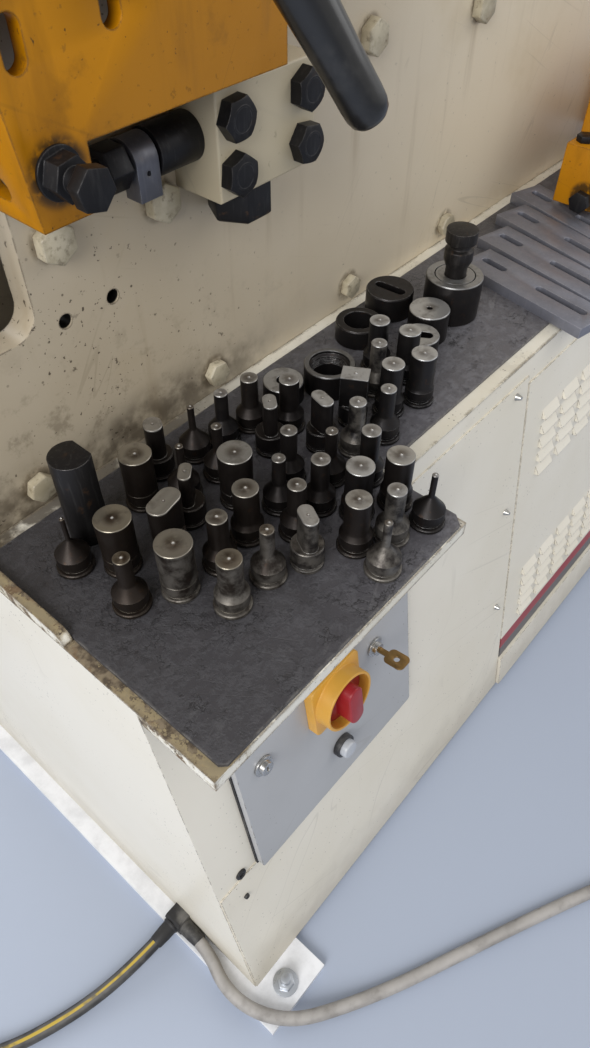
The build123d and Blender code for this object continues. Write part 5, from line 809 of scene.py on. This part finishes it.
class IRONWORKER_OT_stage(bpy.types.Operator):
    """Makes the plain floor, the soft lamps and the camera at the photograph's angle"""

    bl_idname = "ironworker.stage"
    bl_label = "Stage"

    def execute(self, context):
        settings = context.scene.ironworker_stage
        camera_data = bpy.data.cameras.new("camera")
        camera_data.lens = settings.lens
        camera_data.sensor_width = 36.0
        camera_data.sensor_fit = "AUTO"
        camera_data.clip_start = 0.01
        camera = placed("camera", camera_data)
        turn = Matrix((CAMERA_RIGHT, -CAMERA_DOWN, -CAMERA_FORWARD)).transposed().to_4x4()
        camera.matrix_world = Matrix.Translation(mm(*CAMERA_PLACE)) @ turn
        context.scene.camera = camera

        mesh = bmesh.new()
        bmesh.ops.create_grid(mesh, x_segments=1, y_segments=1, size=FLOOR_REACH)
        data = bpy.data.meshes.new("floor")
        mesh.to_mesh(data)
        mesh.free()
        data.materials.append(Finish("floor_plain", tuple(settings.floor)).done(0.75))
        floor = placed("floor", data)

        world = bpy.data.worlds.new("room")
        world.use_nodes = True
        context.scene.world = world
        background = world.node_tree.nodes["Background"]
        background.inputs["Color"].default_value = (1.0, 1.0, 1.0, 1.0)
        background.inputs["Strength"].default_value = settings.sky
        for name, place, aim, size, power in LAMPS:
            lamp_data = bpy.data.lights.new(name, "AREA")
            lamp_data.shape = "SQUARE"
            lamp_data.size = size
            lamp_data.energy = settings.key * power
            lamp = placed(name, lamp_data)
            lamp.location = place
            lamp.rotation_euler = (Vector(aim) - Vector(place)).to_track_quat("-Z", "Y").to_euler()
        context.scene.view_settings.view_transform = "Standard"
        return {"FINISHED"}


# --- Cords ---

POWER_ROUTE = (
    (-26, -226, 31), (-100, -226, 31), (-205, -203, 12), (-330, -150, 11), (-430, -50, 11),
    (-462, 100, 11), (-430, 270, 11), (-330, 410, 11), (-170, 485, 11), (40, 497, 11),
    (250, 487, 11), (420, 464, 20), (520, 455, 38), (590, 455, 38),
)
PEDAL_ROUTE = (
    (-13, -242, 26), (-13, -296, 26), (-34, -350, 26), (-28, -408, 26), (4, -462, 26),
    (66, -504, 15), (140, -547, 11), (226, -590, 11), (322, -637, 11), (425, -690, 11),
    (508, -735, 11), (578, -768, 12), (640, -780, 18), (700, -780, 18),
)


def laid_cord(name, route, diameter, material):
    """A cable jacket along one smooth curve through the route's points."""
    curve = bpy.data.curves.new(name, "CURVE")
    curve.dimensions = "3D"
    curve.resolution_u = 12
    curve.bevel_depth = diameter / 2
    curve.bevel_resolution = 6
    curve.use_fill_caps = True
    spline = curve.splines.new("NURBS")
    spline.points.add(len(route) - 1)
    for point, place in zip(spline.points, route):
        point.co = (*mm(*place), 1.0)
    spline.order_u = 3
    spline.use_endpoint_u = True
    curve.materials.append(material)
    cord = placed(name, curve)
    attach(cord, "machine")
    return cord


class IRONWORKER_OT_cords(bpy.types.Operator):
    """Lays the power cable and the pedal cable, each with its sleeve at the clamp"""

    bl_idname = "ironworker.cords"
    bl_label = "Cables"

    def execute(self, context):
        settings = context.scene.ironworker_cords
        black = cable_jacket("power_jacket", tint(40, 39, 40), tint(122, 120, 116), tint(196, 168, 58))
        grey = cable_jacket("pedal_jacket", tint(136, 132, 128), tint(182, 178, 174))
        rubber = moulded("sleeve_rubber", tint(36, 35, 36), 0.55, 0.35)
        power = laid_cord("power_cord", POWER_ROUTE, settings.diameter, black)
        pedal = laid_cord("pedal_cord", PEDAL_ROUTE, settings.diameter, grey)
        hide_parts("power_cable")
        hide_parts("pedal_cable")
        radius = settings.diameter / MM / 2
        length = settings.sleeve / MM
        for name, route, direction in (
            ("power_sleeve", POWER_ROUTE, (-1, 0, 0)),
            ("pedal_sleeve", PEDAL_ROUTE, (0, -1, 0)),
        ):
            mesh = bmesh.new()
            outline = [(radius, 0), (radius + 4, 0), (radius + 4, 3), (radius + 2.6, 5)]
            outline += [(radius + 2.2, length * 0.5), (radius + 1.2, length - 2), (radius, length)]
            spun(mesh, outline, facing(mm(*route[0]), direction), 28)
            finished(mesh, name, rubber, "machine")
        return {"FINISHED"}


# --- Tooling on the mat ---

MAT_TOP = 763
ROUND_PUNCHES = (
    (103, -138, 38), (178, -85, 36), (120, -206, 38), (249, -162, 38), (217, -111, 9), (76, -183, 17),
    (70, -102, 5), (270, -73, 8), (310, -81, 16), (266, -118, 12), (352, -86, 21), (381, -123, 24),
    (218, -207, 28), (273, -203, 15), (313, -182, 19), (171, -213, 22), (141, -259, 26), (191, -261, 15),
    (256, -243, 20), (301, -237, 21), (343, -218, 14), (401, -209, 20), (372, -250, 22), (320, -275, 31),
    (281, -303, 28), (361, -297, 31), (317, -324, 21), (275, -344, 9), (360, -341, 7), (443, -221, 19),
    (485, -197, 28), (527, -213, 32), (508, -159, 20), (548, -130, 26), (555, -172, 28),
)
SHAPED_PUNCHES = (
    (194, -144, 26, 14, 40), (151, -159, 42, 24, 12), (231, -279, 30, 17, 62), (335, -134, 27, 16, 50),
    (379, -175, 32, 17, 75), (222, -64, 25, 21, 60),
)
RECTANGULAR_PUNCH = (440, -175, 33, 24, -60)
SILVERY = {
    (141, -259), (191, -261), (401, -209), (317, -324), (275, -344), (508, -159), (120, -206),
    (231, -279),
}
MARKS = ("tone", "shine", "ground", "crest", "radius", "nib")
BROWN_END, GREY_END = 60, 480
CONE_START, FOOT_END = 0.32, 0.42


def standing(x, y, angle):
    """Matrix of a place on the mat, turned by an angle."""
    return Matrix.Translation(mm(x, y, MAT_TOP)) @ Matrix.Rotation(angle, 4, "Z")


def punch_sizes(settings):
    """The punch sizes that the user set, in millimetres: head, body, height, groove and nib."""
    return [getattr(settings, name) / MM for name in ("head", "body", "height", "groove", "nib")]


def punch_tone(x, chance):
    """0 for brown and 1 for grey: punches on the left are browner than those on the right."""
    return min(1.0, max(0.0, (x - BROWN_END) / (GREY_END - BROWN_END) + chance * 0.5 - 0.2))


def tool_mesh():
    """An empty mesh with the layers that the finish of the tools reads."""
    mesh = bmesh.new()
    for name in MARKS:
        mesh.verts.layers.float.new(name)
    return mesh


def mark_tooling(mesh, spot, verts, tone, ground=1.0, nib=0.0):
    """Writes a tool's tone, shine and brightness, its crest's height and each point's radius."""
    layers = {name: mesh.verts.layers.float[name] for name in MARKS}
    crest = max(vert.co.z for vert in verts) - nib * MM
    for vert in verts:
        reach = math.hypot(vert.co.x - spot[0] * MM, vert.co.y - spot[1] * MM)
        vert[layers["tone"]] = tone
        vert[layers["shine"]] = 1.0 if spot in SILVERY else 0.0
        vert[layers["ground"]] = ground
        vert[layers["crest"]] = crest
        vert[layers["radius"]] = reach
        vert[layers["nib"]] = 1.0 if nib and vert.co.z > crest and reach < 0.3 * MM else 0.0


class IRONWORKER_OT_round_punches(bpy.types.Operator):
    """Turns the round punches: flange, groove, body, cone, nose and centring nib"""

    bl_idname = "ironworker.round_punches"
    bl_label = "Round punches"

    def execute(self, context):
        settings = context.scene.ironworker_tooling
        chance = random.Random(7)
        mesh = tool_mesh()
        head, body, height, groove, nib = punch_sizes(settings)
        for x, y, nose in ROUND_PUNCHES:
            flange, shank, tip = head / 2, max(body, nose) / 2, nose / 2
            cone_low = height * CONE_START
            cone_high = cone_low + (shank - tip) * 1.1 + 1.0
            pip = min(2.0, tip * 0.4)
            outline = [
                (0, 0), (flange - 1.2, 0), (flange, 1.2), (flange, 4.4), (flange - 1.0, 5.4),
                (shank - groove, 6.0), (shank - groove, 9.4), (shank - 0.6, 10.2), (shank, 10.8),
                (shank, cone_low - 0.5), (shank - 0.4, cone_low),
            ]
            if shank - tip > 1.5:
                outline += [(tip + 0.6, cone_high - 0.4), (tip, cone_high + 1.2)]
            outline += [(tip, height - 0.7), (tip - 0.6, height), (pip + 0.4, height)]
            outline += [(pip, height + 0.15), (0.25, height + nib), (0, height + nib)]
            verts = spun(mesh, outline, standing(x, y, chance.uniform(0, 6.2)), settings.steps)
            mark_tooling(mesh, (x, y), verts, punch_tone(x, chance.random()), nib=nib)
        piece = finished(mesh, "round_punch_set", context.scene["tool_steel"], "machine", 28)
        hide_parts("round_punches")
        return {"FINISHED"}


def punch_foot(shank, groove, top):
    """Outline of the round foot under an oblong or rectangular end: flange, groove and shoulder."""
    return [
        (0, 0), (shank - 0.8, 0), (shank, 0.8), (shank, 5.0), (shank - groove, 6.0),
        (shank - groove, 9.4), (shank, 10.2), (shank, top - 1), (shank - 1, top), (0, top),
    ]


class IRONWORKER_OT_shaped_punches(bpy.types.Operator):
    """Makes the punches whose end is an oblong or a rectangle, on round flanged feet"""

    bl_idname = "ironworker.shaped_punches"
    bl_label = "Oblong punches"

    def execute(self, context):
        settings = context.scene.ironworker_tooling
        chance = random.Random(11)
        mesh = tool_mesh()
        body, height, groove, nib = punch_sizes(settings)[1:]
        steps = settings.steps
        segments = steps + steps % 2
        foot_top = height * FOOT_END
        foot = punch_foot(body / 2, groove, foot_top)
        for x, y, length, width, turn in SHAPED_PUNCHES:
            place = standing(x, y, math.radians(turn))
            verts = spun(mesh, foot, place, steps)
            ring = bmesh.ops.create_circle(mesh, cap_ends=True, segments=segments, radius=width / 2 * MM)
            blade = ring["verts"]
            for vert in blade:
                vert.co.x += math.copysign((length - width) / 2 * MM, vert.co.x)
                vert.co.z = (foot_top - 1) * MM
            face = next(f for f in blade[0].link_faces)
            grown = bmesh.ops.extrude_face_region(mesh, geom=[face])
            upper = [g for g in grown["geom"] if isinstance(g, bmesh.types.BMVert)]
            for vert in upper:
                vert.co.z = height * MM
            cap = [g for g in grown["geom"] if isinstance(g, bmesh.types.BMFace)]
            bmesh.ops.inset_individual(mesh, faces=cap, thickness=0.7 * MM, depth=0.6 * MM)
            whole = {v for f in cap for v in f.verts} | set(upper) | set(blade)
            bmesh.ops.transform(mesh, matrix=place, verts=list(whole))
            spot = [(0, height + nib), (0.25, height + nib), (1.6, height + 0.75), (2.0, height + 0.55)]
            verts += list(whole) + spun(mesh, spot, place, 12)
            mark_tooling(mesh, (x, y), verts, punch_tone(x, chance.random()), nib=nib)
        x, y, length, width, turn = RECTANGULAR_PUNCH
        place = standing(x, y, math.radians(turn))
        verts = spun(mesh, foot, place, steps)
        block = bmesh.ops.create_cube(mesh, size=1.0)["verts"]
        tall = height - foot_top + 1
        size = Matrix.Diagonal((length * MM, width * MM, tall * MM, 1.0))
        rise = Matrix.Translation((0, 0, (height - tall / 2) * MM))
        bmesh.ops.transform(mesh, matrix=place @ rise @ size, verts=block)
        spot = [(0, height + nib), (0.25, height + nib), (2.0, height + 0.4), (2.4, height - 0.1)]
        verts += block + spun(mesh, spot, place, 12)
        mark_tooling(mesh, (x, y), verts, 1.0, nib=nib)
        piece = finished(mesh, "oblong_punch_set", context.scene["tool_steel"], "machine", 28)
        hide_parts("shaped_punches")
        return {"FINISHED"}


LOOSE_DIES = (
    (669, -62, 68, 48, 14, -86.5, 36, 0.0, "plain"), (586, -71, 64, 42, 42, 0, 28, 0.0, "plain"),
    (475, -109, 66, 52, 52, 0, 36, 0.3, "threaded"), (419, -80, 52, 18, 18, 0, 27, 0.8, "plain"),
    (652, -140, 56, 8, 8, 0, 44, 1.0, "plain"), (600, -161, 52, 34, 14, -60, 38, 1.0, "plain"),
    (724, -131, 80, 30, 30, 0, 60, 0.6, "grooved"),
)
THREAD_DEPTHS = (9, 11.4, 13.8, 16.2)


class IRONWORKER_OT_dies(bpy.types.Operator):
    """Makes the ring dies, rounds the holder and the gauge bars and gives them their steel"""

    bl_idname = "ironworker.dies"
    bl_label = "Dies and bars"

    def execute(self, context):
        mesh = tool_mesh()
        for x, y, outer, length, width, turn, height, ground, kind in LOOSE_DIES:
            rings = [(outer - 1.6, outer - 1.6, 0), (outer, outer, 0.8), (outer, outer, height - 1.8)]
            rings += [(outer - 2.4, outer - 2.4, height)]
            if kind == "grooved":
                rings += [(58, 58, height), (57, 57, height - 3.6)]
                rings += [(56, 56, height - 3.6), (54.6, 54.6, height)]
            rings += [(length + 1.2, width + 1.2, height), (length, width, height - 0.6)]
            if kind == "threaded":
                rings += [(length, width, height - 4), (46, 46, height - 7)]
                for depth in THREAD_DEPTHS:
                    rings += [(47, 47, height - depth), (44, 44, height - depth - 1.2)]
                length, width = 44, 44
            rings += [(length, width, 0.4)]
            verts = sleeve(mesh, rings, standing(x, y, math.radians(turn)))
            mark_tooling(mesh, (x, y), verts, 0.9, ground)
        dies = finished(mesh, "ring_dies", context.scene["tool_steel"], "machine", 28)
        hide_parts("loose_dies")
        dark = worn_steel("die_steel", tint(48, 45, 44), tint(128, 124, 118), 0.4, 0.75)
        bar = worn_steel("bar_steel", tint(134, 135, 145), tint(178, 178, 186), 0.42, 0.6, 0.002, 0.2)
        holder = worn_steel("holder_steel", tint(42, 40, 40), tint(124, 121, 118), 0.42, 0.7, 0.002)
        softened("keyed_holder", 0.8, holder)
        softened("held_punch", 0.6, dark)
        softened("gauge_bars", 0.8, bar)
        return {"FINISHED"}


# --- Fasteners ---

SMALL_BOLTS = ((105, 788), (376, 788), (650, 788), (900, 788))
LARGE_BOLTS = ((192, 1037), (322, 1029), (664, 1103), (909, 1088))
GUIDE_BOLTS = ((368, 1060, 22), (368, 1111, 5), (468, 1060, -8), (468, 1111, 30))
YELLOW_BOLTS = ((153, -100, 1139), (1087, -148, 808))
GUIDE_FRONT = -65
PLATE_BORES = ((187, 16, 954), (247, 16, 954))


class IRONWORKER_OT_hexagons(bpy.types.Operator):
    """Rounds the hexagon heads of the fasteners and gives each its paint, plating or black oxide"""

    bl_idname = "ironworker.hexagons"
    bl_label = "Fasteners"

    def execute(self, context):
        scene = context.scene
        mesh = bmesh.new()
        for x, z, roll in GUIDE_BOLTS:
            place = facing(mm(x, GUIDE_FRONT, z), (0, -1, 0), roll)
            hexagon_head(mesh, flats=36, height=15, place=place)
            spun(mesh, [(0, 14.6), (10.5, 14.6), (11.2, 15.2), (12.6, 15.2), (13.2, 14.6)], place, 28)
        oxide = worn_steel("black_oxide", tint(34, 33, 35), tint(96, 94, 92), 0.42, 0.6)
        scene["black_oxide"] = oxide
        heads = finished(mesh, "guide_bolt_heads", oxide, "machine")
        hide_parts("guide_block_bolts")
        for node in ("jack_bolt", "support_bolt", "clamp_bolts", "adjusting_nut", "cross_screw"):
            softened(node, 1.0, oxide)
        lug = worn_steel("lug_steel", tint(106, 106, 112), tint(168, 168, 172), 0.38, 0.7)
        softened("lock_lug", 1.0, lug)
        softened("frame_bolts", 1.6, rubbed_enamel("bolt_enamel", tint(192, 182, 158)))
        softened("anchor_bolts", 0.8, plated("bolt_zinc", tint(196, 200, 206)))
        paint_node("panel_nuts", plated("dome_nickel", tint(190, 188, 182), 0.22))
        return {"FINISHED"}


# --- Lever, controls and fittings ---


LEVER_HUB = (222, -144, 1395)
LEVER_TIP = (339, -245, 1158)
GRIP_LENGTH = 170


class IRONWORKER_OT_lever(bpy.types.Operator):
    """Turns the tapered grip of the hand lever and finishes its rod and hub"""

    bl_idname = "ironworker.lever"
    bl_label = "Hand lever"

    def execute(self, context):
        tip = mm(*LEVER_TIP)
        line = (tip - mm(*LEVER_HUB)).normalized()
        polish = {"Coat Weight": 0.3, "Coat Roughness": 0.12}
        glossy = moulded("grip_black", tint(17, 16, 16), 0.3, 0.06, polish)
        outline = [(9, 0), (19, 0), (20.6, 1), (21, 3), (20.6, 20), (19, 70), (17.6, 120), (17.6, 150)]
        outline += [(17.2, 158), (15.6, 164), (12, 168), (6.5, 169.8), (0, GRIP_LENGTH)]
        mesh = bmesh.new()
        spun(mesh, outline, facing(tip - line * GRIP_LENGTH * MM, line), 40)
        grip = finished(mesh, "grip", glossy, "hand_lever", 50)
        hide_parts("lever_grip")
        oxide = context.scene["black_oxide"]
        paint_node("hand_lever", oxide)
        paint_node("lever_pin", oxide)
        return {"FINISHED"}


class IRONWORKER_OT_controls(bpy.types.Operator):
    """Makes the main switch, the push button, the two latches and the key"""

    bl_idname = "ironworker.controls"
    bl_label = "Controls"

    def execute(self, context):
        paints = context.scene.ironworker_paint
        yellow = moulded("switch_yellow", tint(214, 160, 62), 0.35, 0.12)
        red = moulded("switch_red", tuple(paints.knob), 0.32, 0.1)
        black = moulded("bezel_black", tint(34, 33, 35), 0.4, 0.2)
        clear = moulded("cap_white", tint(180, 183, 188), 0.18, 0.1, {"Coat Weight": 0.5})
        chrome = plated("latch_chrome", tint(198, 196, 192), 0.2)
        brass = plated("key_brass", tint(156, 124, 78), 0.3)
        softened("switch_plate", 2.4, yellow, 3)
        softened("switch_knob", 2.0, red, 3)
        softened("button_collar", 1.0, black)
        softened("button_cap", 3.0, clear, 4)
        for latch in ("left_latch", "right_latch"):
            softened(latch, 0.8, chrome)
        softened("key", 0.5, brass)
        return {"FINISHED"}


class IRONWORKER_OT_guards(bpy.types.Operator):
    """Rounds the yellow hold-down and work support and the cream guide block"""

    bl_idname = "ironworker.guards"
    bl_label = "Hold-down and guide"

    def execute(self, context):
        paints = context.scene.ironworker_paint
        bolts = [mm(*place) for place in YELLOW_BOLTS]
        amber = machine_yellow("machine_yellow", tuple(paints.yellow), bolts)
        softened("hold_down", 1.6, amber)
        softened("work_support", 2.2, amber)
        block = enamel("guide_enamel", tint(196, 184, 158), tint(168, 154, 124), 0.35, 0.66, 0.3, 0.0025)
        softened("guide_block", 0.8, block)
        return {"FINISHED"}


GROMMETS = (("cover_grommet", 42, 345, 8, 0.0), ("cover_plug", 38, 288, 4, 2.0))


class IRONWORKER_OT_grommets(bpy.types.Operator):
    """Adds the small rubber grommet and plug at the left edge of the cabinet front"""

    bl_idname = "ironworker.grommets"
    bl_label = "Grommets"

    def execute(self, context):
        rubber = moulded("grommet_rubber", tint(30, 29, 30), 0.5, 0.2)
        for name, x, z, radius, proud in GROMMETS:
            mesh = bmesh.new()
            outline = [(0, 1.0), (radius * 0.45, 1.0), (radius * 0.5, 3.2), (radius * 0.8, 3.8)]
            outline += [(radius, 2.4), (radius, 0)]
            spun(mesh, outline, on_front(x, z, proud), 20)
            finished(mesh, name, rubber, "machine")
        return {"FINISHED"}


class IRONWORKER_OT_paintwork(bpy.types.Operator):
    """Gives the remaining sheet, plate, steel and rubber parts of the machine their finishes"""

    bl_idname = "ironworker.paintwork"
    bl_label = "Paintwork"

    def execute(self, context):
        scene = context.scene
        paints = scene.ironworker_paint
        cream, plate = tuple(paints.cabinet), tuple(paints.plate)
        shade = tint(214, 206, 186)
        cabinet = enamel("cabinet_enamel", cream, shade, 0.22, 0.7, 0.6)
        bolts = [mm(x, 0, z) for x, z in SMALL_BOLTS + LARGE_BOLTS]
        shaded_bores = [mm(*place) for place in PLATE_BORES]
        plate_coat = soiled_enamel("plate_enamel", plate, tint(180, 165, 140), bolts, shaded_bores)
        steel = worn_steel("ground_steel", tint(140, 140, 144), tint(190, 190, 194), 0.32, 0.95)
        dark = worn_steel("dark_steel", tint(70, 67, 66), tint(150, 148, 144), 0.42, 0.85)
        scene["tool_steel"] = tool_steel(
            "tool_steel", dark=tint(38, 36, 37), warm=tint(45, 37, 31), silver=tint(122, 117, 110)
        )
        door = enamel("door_enamel", tuple(paints.door), tint(150, 150, 150), 0.12, 0.72, 0.2)
        foot = worn_steel("foot_zinc", tint(236, 237, 240), tint(244, 244, 244), 0.5, 0.0, 0.0015, 0.1)
        finishes = {
            cabinet: ("cabinet_shell", "front_cover", "oil_tank"),
            plate_coat: ("front_side_plate", "rear_side_plate", "frame_spacers", "rocking_beam"),
            banded_panel("panel_enamel", cream, shade): ("louvred_panel",),
            flaked_enamel("tray_enamel", tint(232, 228, 216), tint(206, 196, 172)): ("tool_tray",),
            scuffed_rubber("mat_rubber", tuple(paints.mat), tint(92, 90, 92)): ("rubber_mat",),
            door: ("electrical_door",),
            moulded("seal_rubber", tint(32, 31, 32), 0.6, 0.3): ("door_gasket", "cable_clamp"),
            moulded("plug_black", tint(38, 37, 38), 0.45, 0.3): ("mains_plug",),
            foot: ("foot_plates",),
            steel: ("fixed_blade", "moving_blade", "mounted_punch", "mounted_die", "pivot_pin"),
            dark: ("punch_ram", "ram_guide", "ram_nut", "die_bolster", "jack_cylinder"),
            plated("jack_chrome", tint(206, 206, 208), 0.14): ("jack_rod",),
            moulded("motor_grey", tint(96, 104, 110), 0.45, 0.35): ("pump_motor",),
            machine_yellow("pedal_yellow", tuple(paints.yellow)): ("pedal_base",),
            worn_steel("treadle_black", tint(44, 43, 44), tint(120, 118, 116), 0.5, 0.5): ("foot_pedal",),
        }
        for material, nodes in finishes.items():
            for node in nodes:
                paint_node(node, material)
        return {"FINISHED"}


# --- Panel and registration ---

SETTINGS = {
    "ironworker_paint": PaintSettings,
    "ironworker_tooling": ToolingSettings,
    "ironworker_cords": CordSettings,
    "ironworker_stage": StageSettings,
}
STEPS = (
    "stage", "cords", "paintwork", "round_punches", "shaped_punches", "dies", "hexagons", "lever",
    "controls", "guards", "grommets",
)


class IRONWORKER_PT_dressing(bpy.types.Panel):
    """Lists the steps that dress the machine"""

    bl_label = "Ironworker"
    bl_idname = "IRONWORKER_PT_dressing"
    bl_space_type = "VIEW_3D"
    bl_region_type = "UI"
    bl_category = "Ironworker"

    def draw(self, context):
        for settings in SETTINGS:
            group = getattr(context.scene, settings)
            box = self.layout.box()
            for name in group.bl_rna.properties.keys():
                if name not in ("rna_type", "name"):
                    box.prop(group, name)
        for step in STEPS:
            self.layout.operator("ironworker." + step)


CLASSES = (
    *SETTINGS.values(),
    IRONWORKER_OT_stage,
    IRONWORKER_OT_cords,
    IRONWORKER_OT_paintwork,
    IRONWORKER_OT_round_punches,
    IRONWORKER_OT_shaped_punches,
    IRONWORKER_OT_dies,
    IRONWORKER_OT_hexagons,
    IRONWORKER_OT_lever,
    IRONWORKER_OT_controls,
    IRONWORKER_OT_guards,
    IRONWORKER_OT_grommets,
    IRONWORKER_PT_dressing,
)


def register():
    for cls in CLASSES:
        bpy.utils.register_class(cls)
    for name, group in SETTINGS.items():
        setattr(bpy.types.Scene, name, PointerProperty(type=group))


def unregister():
    for name in SETTINGS:
        delattr(bpy.types.Scene, name)
    for cls in reversed(CLASSES):
        bpy.utils.unregister_class(cls)


def main():
    register()
    for step in STEPS:
        getattr(bpy.ops.ironworker, step)()


if __name__ == "__main__":
    main()
